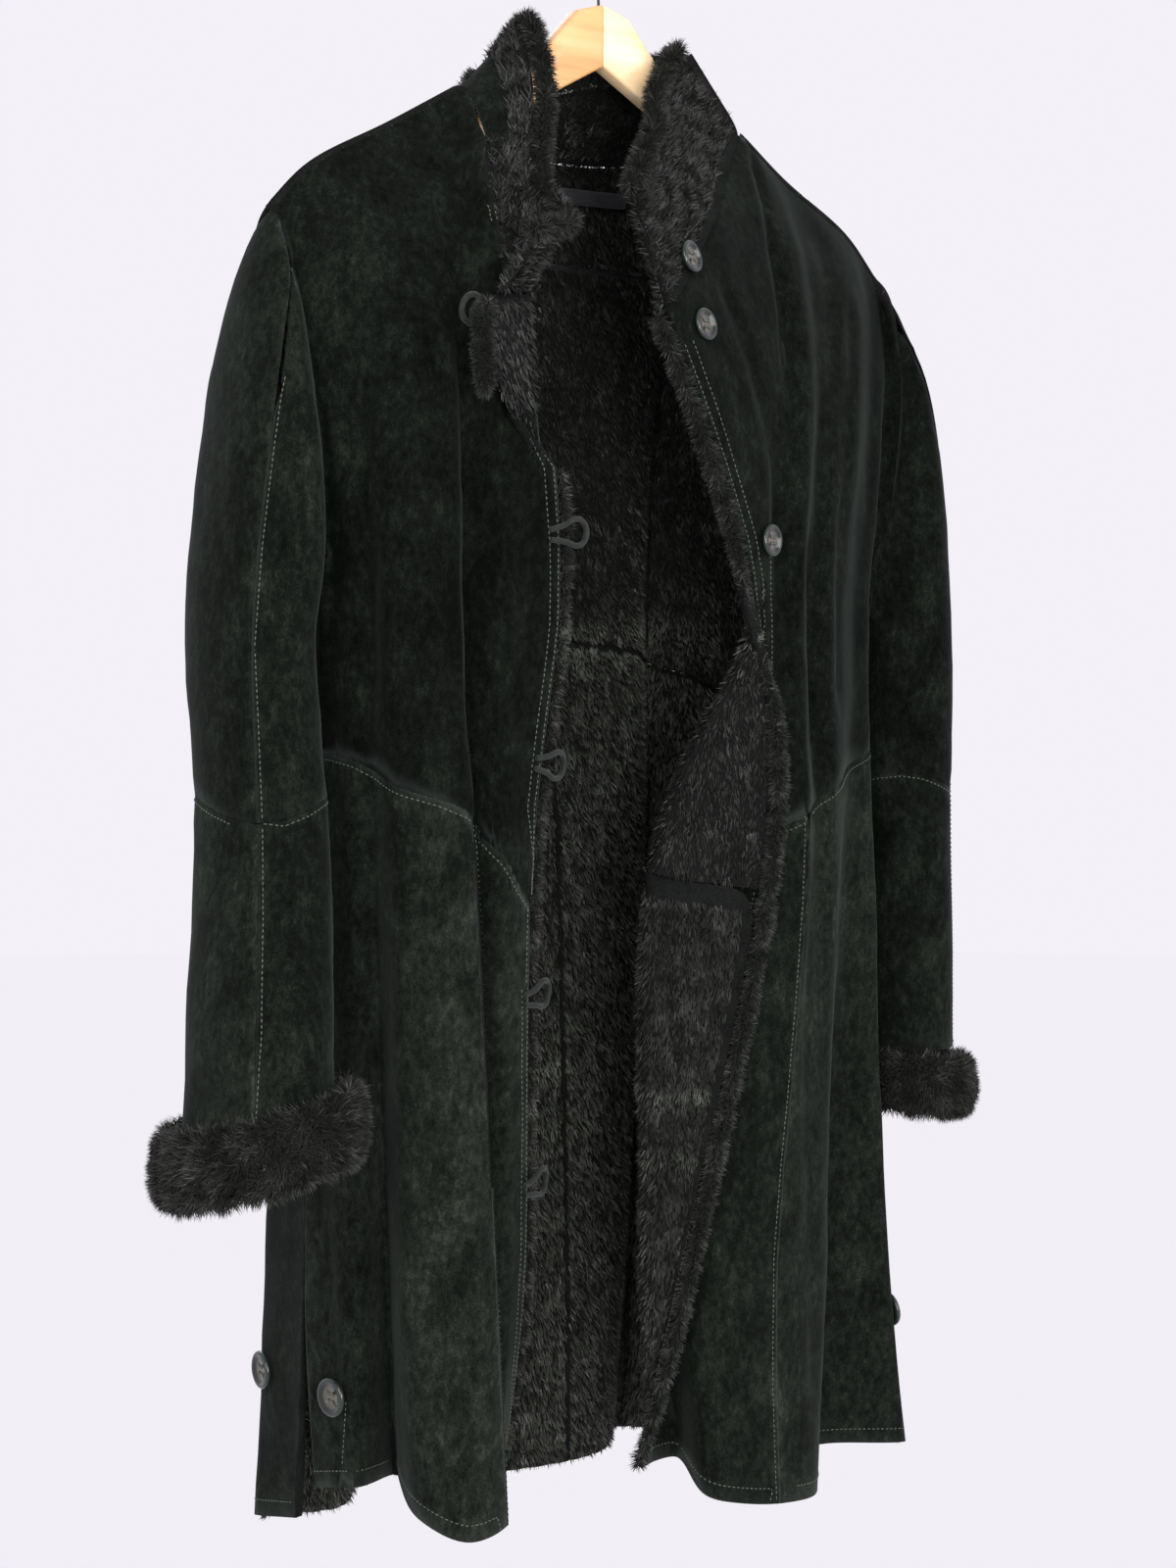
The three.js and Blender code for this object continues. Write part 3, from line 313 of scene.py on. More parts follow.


# Soft creases that the leather has taken: pieces, points, half width and depth.
CREASES = (
    (("front_upper_left",), ((-0.131, -0.008, -0.162), (-0.136, -0.022, -0.184), (-0.143, -0.044, -0.227),
                             (-0.151, -0.059, -0.277)), 0.0035, 0.0028),
    (("front_upper_left",), ((-0.123, -0.012, -0.161), (-0.130, -0.027, -0.184), (-0.138, -0.050, -0.227)),
     0.003, 0.0022),
    (("front_upper_left",), ((-0.212, -0.048, -0.311), (-0.209, -0.049, -0.394), (-0.205, -0.046, -0.508)),
     0.009, 0.0026),
    (("front_upper_left",), ((-0.191, -0.062, -0.301), (-0.191, -0.074, -0.367), (-0.188, -0.079, -0.451),
                             (-0.190, -0.082, -0.559)), 0.011, -0.0024),
    (("front_upper_left",), ((-0.176, -0.070, -0.290), (-0.174, -0.080, -0.390), (-0.172, -0.085, -0.550)),
     0.008, 0.0020),
    (("front_upper_right",), ((0.120, -0.012, -0.162), (0.106, -0.048, -0.229), (0.100, -0.071, -0.308),
                              (0.112, -0.074, -0.447), (0.119, -0.074, -0.549)), 0.0045, 0.0034),
    (("front_upper_right",), ((0.048, -0.070, -0.262), (0.064, -0.078, -0.311), (0.080, -0.079, -0.366),
                              (0.087, -0.081, -0.447)), 0.007, 0.0024),
    (("front_upper_right",), ((0.181, -0.044, -0.264), (0.155, -0.068, -0.336), (0.145, -0.074, -0.409),
                              (0.146, -0.072, -0.511)), 0.008, 0.0034),
    (("front_upper_right",), ((0.154, -0.030, -0.222), (0.139, -0.058, -0.304), (0.134, -0.072, -0.395)),
     0.009, -0.0022),
    (("sleeve_lower",), ((-0.315, -0.035, -0.735), (-0.310, -0.070, -0.733), (-0.296, -0.089, -0.727)),
     0.004, 0.0020),
    (("sleeve_lower",), ((-0.296, -0.078, -0.693), (-0.285, -0.093, -0.708), (-0.251, -0.083, -0.726)),
     0.005, 0.0024),
    (("sleeve_lower",), ((-0.266, -0.061, -0.580), (-0.260, -0.073, -0.619), (-0.266, -0.085, -0.667)),
     0.008, 0.0026),
    (("sleeve_lower",), ((0.247, -0.036, -0.636), (0.267, -0.045, -0.650)), 0.006, 0.0026),
    (("sleeve_lower",), ((0.248, -0.015, -0.721), (0.260, -0.023, -0.763)), 0.006, 0.0024),
    (("front_side_lower_left",), ((-0.191, -0.082, -0.599), (-0.187, -0.083, -0.737), (-0.181, -0.086, -0.911),
                                  (-0.180, -0.088, -0.993)), 0.012, 0.0022),
    (("front_side_lower_left",), ((-0.214, -0.006, -0.834), (-0.213, -0.014, -0.923), (-0.211, -0.021, -0.981)),
     0.008, 0.0024),
    (("front_centre_lower_right", "front_side_lower_right"),
     ((0.097, -0.089, -0.612), (0.106, -0.085, -0.767), (0.116, -0.083, -0.964)), 0.010, 0.0024),
    (("front_side_lower_right",), ((0.185, -0.040, -0.646), (0.196, -0.038, -0.816), (0.206, -0.036, -0.990)),
     0.010, 0.0024),
    (("back_upper",), ((-0.110, 0.075, -0.22), (-0.125, 0.080, -0.36), (-0.128, 0.075, -0.51)), 0.010, 0.0026),
    (("back_upper",), ((0.125, 0.075, -0.22), (0.150, 0.080, -0.36), (0.158, 0.078, -0.51)), 0.010, 0.0026),
    (("back_lower",), ((-0.130, 0.080, -0.54), (-0.135, 0.090, -0.80), (-0.138, 0.100, -1.03)), 0.012, 0.0026),
    (("back_lower",), ((0.165, 0.080, -0.54), (0.172, 0.085, -0.80), (0.182, 0.092, -1.03)), 0.012, 0.0026),
)


def to_quads(shell, faces, flatness, squareness):
    """Joins pairs of triangles, within those angles in degrees."""
    bmesh.ops.join_triangles(
        shell, faces=faces, cmp_seam=False, cmp_sharp=False, cmp_uvs=False, cmp_vcols=False,
        cmp_materials=False, angle_face_threshold=math.radians(flatness), angle_shape_threshold=math.radians(squareness))


def crease_depth(name, points):
    """How far the panel's creases press each point in."""
    depth = np.zeros(len(points))
    for on, line, width, deep in CREASES:
        if not any(key in name for key in on):
            continue
        line = np.array(line)
        nearest = np.full(len(points), 1e9)
        for a, b in zip(line[:-1], line[1:]):
            along = b - a
            f = np.clip(((points - a) @ along) / (along @ along), 0, 1)
            nearest = np.minimum(nearest, np.linalg.norm(points - a - f[:, None] * along, axis=1))
        depth += deep * np.exp(-((nearest / width) ** 2))
    return depth


def ripple(points, wavelength, seed):
    """Smooth waves of about that wavelength, from -1 to 1, the same on every run."""
    random = np.random.default_rng(seed)
    total = np.zeros(len(points))
    for _ in range(7):
        way = random.normal(size=3)
        way *= random.uniform(0.75, 1.5) / np.linalg.norm(way)
        total += np.sin(points @ way * (2 * math.pi / wavelength) + random.uniform(0, 6.28))
    return total / 3.7


def mesh_arrays(mesh):
    """The vertices' places and normals."""
    place = np.zeros(len(mesh.vertices) * 3)
    mesh.vertices.foreach_get("co", place)
    normal = np.zeros(len(mesh.vertices) * 3)
    mesh.vertices.foreach_get("normal", normal)
    return place.reshape(-1, 3), normal.reshape(-1, 3)


def store(mesh, name, values):
    """Keeps one value for each vertex as an attribute."""
    layer = mesh.attributes.new(name, "FLOAT", "POINT")
    layer.data.foreach_set("value", np.asarray(values, dtype=np.float32))


def add_piece(name, mesh, materials, slot, *replaced):
    """A visible piece of the coat, which hangs on root and stands for the solids that it replaces."""
    piece = bpy.data.objects.new(name, mesh)
    bpy.context.collection.objects.link(piece)
    for material in materials:
        mesh.materials.append(material)
    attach(piece, "root")
    if replaced:
        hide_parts(*replaced)
    return piece


def smoothed(piece, levels):
    """Applies a Subdivision Surface, so that later steps shape the fine mesh."""
    finish = piece.modifiers.new("smooth", "SUBSURF")
    finish.levels = finish.render_levels = levels
    made = bpy.data.meshes.new_from_object(piece.evaluated_get(bpy.context.evaluated_depsgraph_get()))
    piece.modifiers.clear()
    old = piece.data
    piece.data = made
    bpy.data.meshes.remove(old)
    return made


suede, tree, shader = new_material("suede", roughness=0.95, specular_ior_level=0.06, sheen_weight=0.07,
                                   sheen_roughness=0.4, sheen_tint=(0.55, 0.66, 0.6))
# The suede's colour mixes noise mottling, each panel's tone with its painted light, and rubbed rims.
mottle = sum_of(
    tree,
    (speckle(tree, 9, 3, (1, 1, 0.5)), 0.30),
    (speckle(tree, 46, 4, (1, 1, 0.62), 0.66), 0.42),
    (speckle(tree, 240, 4, (1, 1, 0.6), 0.7), 0.46),
    (speckle(tree, 900, 2), 0.26),
    (attribute(tree, "tone_and_painted_light"), 0.5),
    (attribute(tree, "wear"), 0.07),
)
suede_tone = tones(tree, mottle, (0.60, (0.0004, 0.0008, 0.0004)), (0.74, (0.0032, 0.0044, 0.0030)),
                   (0.86, (0.0100, 0.0126, 0.0094)), (0.99, (0.026, 0.031, 0.024)))
tree.links.new(suede_tone, shader.inputs["Base Color"])
nap = sum_of(tree, (speckle(tree, 1900, 2), 0.5), (speckle(tree, 420, 3), 0.5),
             (speckle(tree, 60, 3, (1, 1, 0.5)), 0.8))
relief(tree, shader, nap, 0.35, 0.0006)

pelt, tree, shader = new_material("pile_roots", roughness=0.9, specular_ior_level=0.1)
matted = sum_of(tree, (speckle(tree, 700, 3), 0.6), (speckle(tree, 60, 3), 0.4))
tree.links.new(tones(tree, matted, (0.35, (0.0015, 0.0018, 0.0016)), (0.7, (0.009, 0.010, 0.009))),
               shader.inputs["Base Color"])
relief(tree, shader, matted, 0.8, 0.0015)

for name, (width, length, area, tone_and_painted_light) in PANELS.items():
    panel = panels[name]
    shell, mark = panel["shell"], panel["mark"]
    to_quads(shell, [f for f in shell.faces if f[mark] != 0], 45, 50)
    for face in shell.faces:
        face.material_index = 0 if face[mark] > 0 else 1
        face.smooth = True
    # The rim of the leather side: both ends of each edge, and the middle of the leather face beside it.
    panel["border"] = []
    for edge in panel["rim"]:
        if not edge.is_valid:
            continue
        inner = [f.calc_center_median() for f in edge.link_faces if f[mark] > 0]
        if inner:
            panel["border"].append((edge.verts[0].co.copy(), edge.verts[1].co.copy(), inner[0]))
    mesh = bpy.data.meshes.new(name)
    shell.to_mesh(mesh)
    piece = add_piece("panel_" + name, mesh, (suede, pelt), "suede", name)
    mesh = smoothed(piece, 2)
    place, normal = mesh_arrays(mesh)
    flank = np.zeros(len(mesh.polygons), dtype=np.int32)
    mesh.attributes["side"].data.foreach_get("value", flank)
    vertex_side = np.zeros(len(place))
    corners = np.array([v for p in mesh.polygons for v in p.vertices])
    owner = np.repeat(np.arange(len(mesh.polygons)), [p.loop_total for p in mesh.polygons])
    np.add.at(vertex_side, corners, flank[owner])
    leather = vertex_side > 0
    lined = vertex_side < 0
    # Distance from the panel's rim, and whether that part of the rim is a seam.
    finder = KDTree(5 * len(panel["border"]))
    seam_at, way_out = [], []
    for a, b, middle in panel["border"]:
        kind = neighbour_at(name, a) != "free" and neighbour_at(name, b) != "free"
        outward = (a + b) / 2 - middle
        outward -= (b - a).normalized() * outward.dot((b - a).normalized())
        for step in range(5):
            finder.insert(a.lerp(b, step / 4), len(seam_at))
            seam_at.append(kind)
            way_out.append(outward.normalized())
    finder.balance()
    nearest = [finder.find(p) for p in place]
    distance = np.array([n[2] for n in nearest])
    at_seam = np.array([seam_at[n[1]] for n in nearest])
    pull = at_seam * SEAM_CLOSE * np.exp(-(distance / CLOSE_WIDTH) ** 2)
    closing = np.array([way_out[n[1]] for n in nearest]) * pull[:, None]
    # Waves and creases fade out toward the rim, where the panels meet.
    inside = np.clip(distance / STIFF_BORDER, 0, 1) ** 2
    waves = ripple(place, 0.075, 11) * 0.0008 + ripple(place, 0.028, 5) * 0.0003
    shift = np.zeros(len(place))
    shift[leather] += waves[leather] * inside[leather]
    shift[leather] -= crease_depth(name, place)[leather] * inside[leather]
    sewn = leather & at_seam
    shift[sewn] -= GROOVE * np.exp(-((distance[sewn] / GROOVE_WIDTH) ** 2))
    shift[lined] -= PILE_ROOTS * (1.6 if name == "collar" else 1)
    if name == "collar":
        # The pile side rolls out over the top edge, furthest at the left end.
        rolled = np.interp(place[:, 0], *ROLLED_OVER)
        furry = leather & ~at_seam & (distance < rolled)
        leather, lined = leather & ~furry, lined | furry
        slots = np.ones(len(mesh.polygons), dtype=np.int32)
        slots[np.unique(owner[leather[corners]])] = 0
        mesh.polygons.foreach_set("material_index", slots)
    place += normal * shift[:, None] + closing
    mesh.vertices.foreach_set("co", place.ravel())
    # Painted light: the stored tone lifts the suede's colour, most on the lower panels and the left sleeve, as
    # if lit more.
    store(mesh, "tone_and_painted_light", np.full(len(place), tone_and_painted_light))
    store(mesh, "wear", np.exp(-((distance / WORN_WIDTH) ** 2)))
    mesh.update()
    panel["piece"] = piece
    panel["leather"], panel["lined"] = leather, lined

# ---- Topstitching
# Lockstitch in a lighter grey-green thread, 3.4 mm a stitch, beside the seams and along the edges.
STITCH = 0.0034
THREAD_HALF = (0.00048, 0.00045)  # half of a stitch's width and its height off the leather
SIDE_SEAM = 0.17  # beyond this x, an upright rim belongs to a vent and isn't a front edge
HEM_TOP = -0.985
thread, tree, shader = new_material("thread", roughness=0.7, specular_ior_level=0.25)
tree.links.new(tones(tree, speckle(tree, 900, 2), (0.3, (0.05, 0.058, 0.045)), (0.7, (0.10, 0.112, 0.088))),
               shader.inputs["Base Color"])


def runs_of(name):
    """The rim of a panel's leather side as runs of (point, way in), split at corners and by neighbour."""
    def key(point):
        return tuple(round(c * 1e5) for c in point)

    links = {}
    for a, b, middle in panels[name]["border"]:
        along = (b - a).normalized()
        inward = middle - (a + b) / 2
        inward = (inward - along * inward.dot(along)).normalized()
        links.setdefault(key(a), []).append((key(b), a, b, inward))
        links.setdefault(key(b), []).append((key(a), b, a, inward))
    runs, used = [], set()
    for start in links:
        for first in links[start]:
            if (start, first[0]) in used:
                continue
            chain, here, step = [(first[1], first[3])], start, first
            while step and (here, step[0]) not in used:
                used.update([(here, step[0]), (step[0], here)])
                chain.append((step[2], step[3]))
                before, here = here, step[0]
                choices = [s for s in links[here] if (here, s[0]) not in used]
                step = choices[0] if len(choices) == 1 else None
            runs.append(chain)
    pieces = []
    for chain in runs:
        labels = [neighbour_at(name, p) for p, _ in chain]
        current = [chain[0]]
        for k in range(1, len(chain)):
            current.append(chain[k])
            ends = k + 1 == len(chain)
            if not ends:
                one = (chain[k][0] - chain[k - 1][0]).normalized()
                two = (chain[k + 1][0] - chain[k][0]).normalized()
                ends = one.dot(two) < 0.5 or (labels[k + 1] != labels[k] and len(current) > 2)
            if ends:
                middle = current[len(current) // 2][0]
                pieces.append((neighbour_at(name, middle), current))
                current = [chain[k]]
    return [(label, run) for label, run in pieces if len(run) > 1]


def leather_tree(name):
    return BVHTree.FromObject(panels[name]["piece"], bpy.context.evaluated_depsgraph_get())


def sew(mesh, surface, run, offset):
    """Stitches along a run, that far in from the edge."""
    points = [p + inward * offset for p, inward in run]
    lengths = [0.0]
    for a, b in zip(points[:-1], points[1:]):
        lengths.append(lengths[-1] + (b - a).length)
    marks = []
    for n in range(int(lengths[-1] / STITCH) + 1):
        at = n * STITCH
        k = max(i for i, value in enumerate(lengths) if value <= at + 1e-9)
        k = min(k, len(points) - 2)
        f = (at - lengths[k]) / max(1e-9, lengths[k + 1] - lengths[k])
        found, normal, _, _ = surface.find_nearest(points[k].lerp(points[k + 1], f), 0.02)
        marks.append((found, normal))
    for (a, na), (b, nb) in zip(marks[:-1], marks[1:]):
        if a is None or b is None or not 0.5 * STITCH < (b - a).length < 1.6 * STITCH:
            continue
        up = (na + nb).normalized()
        along = (b - a).normalized()
        across = up.cross(along).normalized()
        middle = (a + b) / 2 + up * 0.00025
        half = 0.41 * (b - a).length
        ends = [mesh.verts.new(middle + along * way * half - up * 0.0003) for way in (-1, 1)]
        wide, high = across * THREAD_HALF[0], up * THREAD_HALF[1]
        ring = [mesh.verts.new(middle + offset_by) for offset_by in (wide, high, -wide, -high)]
        for i in range(4):
            mesh.faces.new((ends[1], ring[i], ring[(i + 1) % 4]))
            mesh.faces.new((ends[0], ring[(i + 1) % 4], ring[i]))


def free_edge(name, run):
    """Which of the coat's open edges a run lies on: hem, front, or none that is stitched."""
    if all(p.z < HEM_TOP for p, _ in run[1:-1]):
        return "hem"
    rise = run[-1][0] - run[0][0]
    upright = abs(rise.z) > 0.6 * rise.length
    if upright and "sleeve" not in name and all(abs(p.x) <= SIDE_SEAM for p, _ in run):
        return "front"
    return ""


SEWN = {  # panel: {neighbour: distances of the rows of stitches from the seam}
    "front_upper_left": {"front": (0.0022, 0.0095)},
    "front_centre_lower_left": {"front_upper_left": (0.004,), "front_side_lower_left": (0.0035,),
                                "front": (0.0022, 0.0095), "hem": (0.010,)},
    "front_side_lower_left": {"front_upper_left": (0.004,), "hem": (0.010,)},
    "back_lower_left": {"back_upper": (0.004,), "back_lower_right": (0.0035,), "hem": (0.010,)},
    "back_lower_right": {"back_upper": (0.004,), "hem": (0.010,)},
    "front_upper_right": {"front": (0.0022, 0.0095)},
    "front_side_lower_right": {"front_upper_right": (0.004,), "hem": (0.010,)},
    "front_centre_lower_right": {"front_upper_right": (0.004,), "front_side_lower_right": (0.0035,),
                                 "front": (0.0022, 0.0095), "hem": (0.010,)},
    "sleeve_lower_front_left": {"sleeve_upper_front_left": (0.003,), "sleeve_lower_back_left": (0.003,)},
    "sleeve_lower_back_left": {"sleeve_upper_back_left": (0.003,)},
    "sleeve_upper_front_left": {"sleeve_upper_back_left": (0.003,)},
    "sleeve_lower_front_right": {"sleeve_upper_front_right": (0.003,), "sleeve_lower_back_right": (0.003,)},
    "sleeve_lower_back_right": {"sleeve_upper_back_right": (0.003,)},
    "sleeve_upper_front_right": {"sleeve_upper_back_right": (0.003,)},
    "collar": {"front_upper_right": (0.003,), "front_upper_left": (0.003,), "back_upper": (0.003,)},
}
for name, rows in SEWN.items():
    stitches = bmesh.new()
    surface = leather_tree(name)
    for label, run in runs_of(name):
        if label == "free":
            label = free_edge(name, run)
        for offset in rows.get(label, ()):
            sew(stitches, surface, run, offset)
    mesh = bpy.data.meshes.new("topstitch_" + name)
    stitches.normal_update()
    stitches.to_mesh(mesh)
    if len(mesh.polygons):
        add_piece("topstitch_" + name, mesh, (thread,), "suede")

# ---- Pile
# Clipped sheep's pile, charcoal black, on the inside of every panel that can be seen: separate tapered
# locks that lean down and part in soft clumps. Painted sheen makes it lighter in bands, where skins are joined
# and the pile is brushed up, and painted light makes some panels' pile lighter or darker all over.
pile, tree, shader = new_material("pile", roughness=0.5, specular_ior_level=0.4, sheen_weight=0.1,
                                  sheen_roughness=0.35, sheen_tint=(0.6, 0.66, 0.6))
lock = sum_of(tree, (attribute(tree, "shade"), 0.8), (speckle(tree, 30, 3), 0.22))
tree.links.new(tones(tree, lock, (0.05, (0.0020, 0.0022, 0.0018)), (0.45, (0.0140, 0.0155, 0.0120)),
                     (0.8, (0.046, 0.050, 0.040)), (1.0, (0.110, 0.118, 0.098))), shader.inputs["Base Color"])

# Joins between skins, where the pile is brushed up and painted lighter as sheen: middle, half height, left
# limit, right limit, gain.
SHEEN_BANDS = (
    (-0.478, 0.016, -0.13, 0.16, 1.1),
    (-0.500, 0.008, -0.02, 0.05, 0.6),
    (-0.770, 0.007, -0.13, 0.03, 0.9),
    (-0.812, 0.006, -0.13, 0.05, 0.6),
)


def ground_of(piece, chosen):
    """Triangles of the chosen vertices' faces, with their normals, for pile to grow on."""
    mesh = piece.data
    mesh.calc_loop_triangles()
    corners = np.zeros(len(mesh.loop_triangles) * 3, dtype=np.int64)
    mesh.loop_triangles.foreach_get("vertices", corners)
    corners = corners.reshape(-1, 3)
    place, normal = mesh_arrays(mesh)
    corners = corners[chosen[corners].all(axis=1)]
    return place[corners], normal[corners]


def grow(name, ground, count, length, width, nap, lift, seed, wild, painted_brightness, clump=0.011):
    """One tapered triangle for each lock of pile, rooted at random on the ground.

    nap is the way that the locks lean, lift how far they stand up, wild how far they go astray, and
    clump the size in metres of the tufts that they part in. The locks' colour is raised or lowered by the
    given amount of painted light, and painted sheen lightens them along the joins between skins.
    """
    place, normal = ground
    random = np.random.default_rng(seed)
    area = np.linalg.norm(np.cross(place[:, 1] - place[:, 0], place[:, 2] - place[:, 0]), axis=1)
    chosen = random.choice(len(area), size=count, p=area / area.sum())
    one, two = random.random((2, count))
    flip = one + two > 1
    one[flip], two[flip] = 1 - one[flip], 1 - two[flip]
    share = np.stack([1 - one - two, one, two], axis=1)[:, :, None]
    root = (place[chosen] * share).sum(axis=1)
    up = (normal[chosen] * share).sum(axis=1)
    up /= np.linalg.norm(up, axis=1)[:, None] + 1e-12
    nap = np.tile(np.array(nap, dtype=float), (count, 1))
    nap = nap - up * (nap * up).sum(axis=1)[:, None]
    swirl = np.stack([ripple(root, clump * 1.6, seed + k) for k in range(3)], axis=1)
    fine = np.stack([ripple(root, clump * 0.55, seed + 7 + k) for k in range(3)], axis=1)
    astray = random.normal(scale=0.5 * wild, size=(count, 3))
    way = up * lift + nap + wild * (0.8 * swirl + 0.6 * fine) + astray
    way += up * np.maximum(0, 0.12 - (way * up).sum(axis=1))[:, None]
    way /= np.linalg.norm(way, axis=1)[:, None]
    side = np.cross(way, up + random.normal(scale=0.45, size=(count, 3)))
    side /= np.linalg.norm(side, axis=1)[:, None] + 1e-12
    high = 0.5 + 0.5 * ripple(root, clump, seed + 3)
    reach = length * (0.72 + 0.22 * high + random.uniform(-0.14, 0.14, count))
    thick = width * random.uniform(0.7, 1.3, count)
    tip = root + way * reach[:, None]
    points = np.stack([root - side * thick[:, None] / 2, root + side * thick[:, None] / 2, tip], axis=1)
    facing = np.cross(points[:, 1] - points[:, 0], points[:, 2] - points[:, 0])
    turned = (facing * up).sum(axis=1) < 0
    points[turned] = points[turned][:, [1, 0, 2]]
    # Painted light: each panel's pile is lifted or lowered by its given amount, and painted sheen lightens the
    # joins between skins.
    painted_light = np.full(count, painted_brightness)
    for middle, half, left, right, gain in SHEEN_BANDS:
        within = (root[:, 0] > left) & (root[:, 0] < right)
        wave = 0.006 * ripple(root, 0.09, 21)
        painted_light += gain * within * np.exp(-(((root[:, 2] - middle + wave) / half) ** 2)) * (0.6 + 0.4 * high)
    bright = np.clip(0.42 + 0.26 * high + random.normal(scale=0.15, size=count) + painted_light, 0, 2.2)
    # Painted shade: a lock's root corners get a quarter of its tip's value, darker as if shaded deep in the
    # pile.
    shade = np.stack([0.25 * bright, 0.25 * bright, bright], axis=1)
    mesh = bpy.data.meshes.new(name)
    mesh.vertices.add(3 * count)
    mesh.vertices.foreach_set("co", points.ravel())
    mesh.loops.add(3 * count)
    mesh.loops.foreach_set("vertex_index", np.arange(3 * count, dtype=np.int32))
    mesh.polygons.add(count)
    mesh.polygons.foreach_set("loop_start", np.arange(0, 3 * count, 3, dtype=np.int32))
    mesh.update(calc_edges=True)
    store(mesh, "shade", shade.ravel())
    return add_piece(name, mesh, (pile,), "fur")


LINING = {  # panel: locks, length, width, painted light: how much lighter or darker its pile is painted, for the light that falls there
    "back_upper": (84000, 0.0056, 0.0012, 0.10),
    "back_lower_left": (66000, 0.0060, 0.0013, 0.62),
    "back_lower_right": (66000, 0.0060, 0.0013, 0.62),
    "front_upper_right": (34000, 0.0058, 0.0011, -0.12),
    "front_centre_lower_right": (46000, 0.0062, 0.0012, -0.12),
    "front_side_lower_right": (9000, 0.0060, 0.0014, 0.0),
    "front_upper_left": (15000, 0.0060, 0.0013, 0.0),
    "front_centre_lower_left": (8000, 0.0060, 0.0013, 0.0),
    "front_side_lower_left": (9000, 0.0060, 0.0014, 0.0),
    "collar": (34000, 0.0066, 0.0010, -0.18),
    "sleeve_lower_front_left": (2500, 0.006, 0.0014, 0.0),
    "sleeve_lower_back_left": (2500, 0.006, 0.0014, 0.0),
    "sleeve_lower_front_right": (2500, 0.006, 0.0014, 0.0),
    "sleeve_lower_back_right": (2500, 0.006, 0.0014, 0.0),
}
for order, (name, (count, length, width, painted_brightness)) in enumerate(LINING.items()):
    ground = ground_of(panels[name]["piece"], panels[name]["lined"])
    nap, wild = ((0, 0, 0.35), 0.4) if name == "collar" else ((0, 0, -0.75), 0.24)
    grow("pile_" + name, ground, count, length, width, nap, 0.55, 100 + order, wild, painted_brightness)

# ---- Fur rims
# The pile stands out past the cut edges of the fronts and over the top of the collar, in a soft roll.
RIMS = {  # node: locks, length, width, how far the roll's own body is drawn in
    "fur_edge_left": (13000, 0.0068, 0.0010, 0.0022),
    "fur_edge_revers": (5000, 0.0072, 0.0010, 0.0022),
    "fur_edge_right": (30000, 0.0075, 0.0010, 0.0022),
    "fur_edge_collar": (26000, 0.0085, 0.0009, 0.0026),
}


def fur_body(name, drawn_in, levels):
    """The soft body of a roll of fur, and the ground on it for the pile."""
    body = merged(name)
    mesh = bpy.data.meshes.new(name)
    for face in body.faces:
        face.smooth = True
    body.to_mesh(mesh)
    piece = add_piece("body_" + name, mesh, (pelt,), "fur", name)
    mesh = smoothed(piece, levels)
    place, normal = mesh_arrays(mesh)
    place -= normal * (drawn_in + 0.0006 * ripple(place, 0.02, 3))[:, None]
    mesh.vertices.foreach_set("co", place.ravel())
    mesh.update()
    return ground_of(piece, np.ones(len(place), dtype=bool))


for order, (name, (count, length, width, drawn_in)) in enumerate(RIMS.items()):
    ground = fur_body(name, drawn_in, 1)
    # Painted shade: the rolls' pile is painted a little darker.
    grow("pile_" + name, ground, count, length, width, (0, 0, -0.35), 0.8, 200 + order,
         wild=0.5, painted_brightness=-0.14)

# ---- Cuffs
# Each sleeve ends in a deep cuff, turned up so that its pile is outside. The pile there is longer.
for order, name in enumerate(("cuff_left", "cuff_right")):
    ground = fur_body(name, 0.0026, 2)
    # Painted shade: the cuffs' pile is painted a little darker.
    grow("pile_" + name, ground, 46000, 0.0095, 0.0010, (0, 0, -0.25), 0.75, 300 + order,
         wild=0.6, painted_brightness=-0.16, clump=0.013)

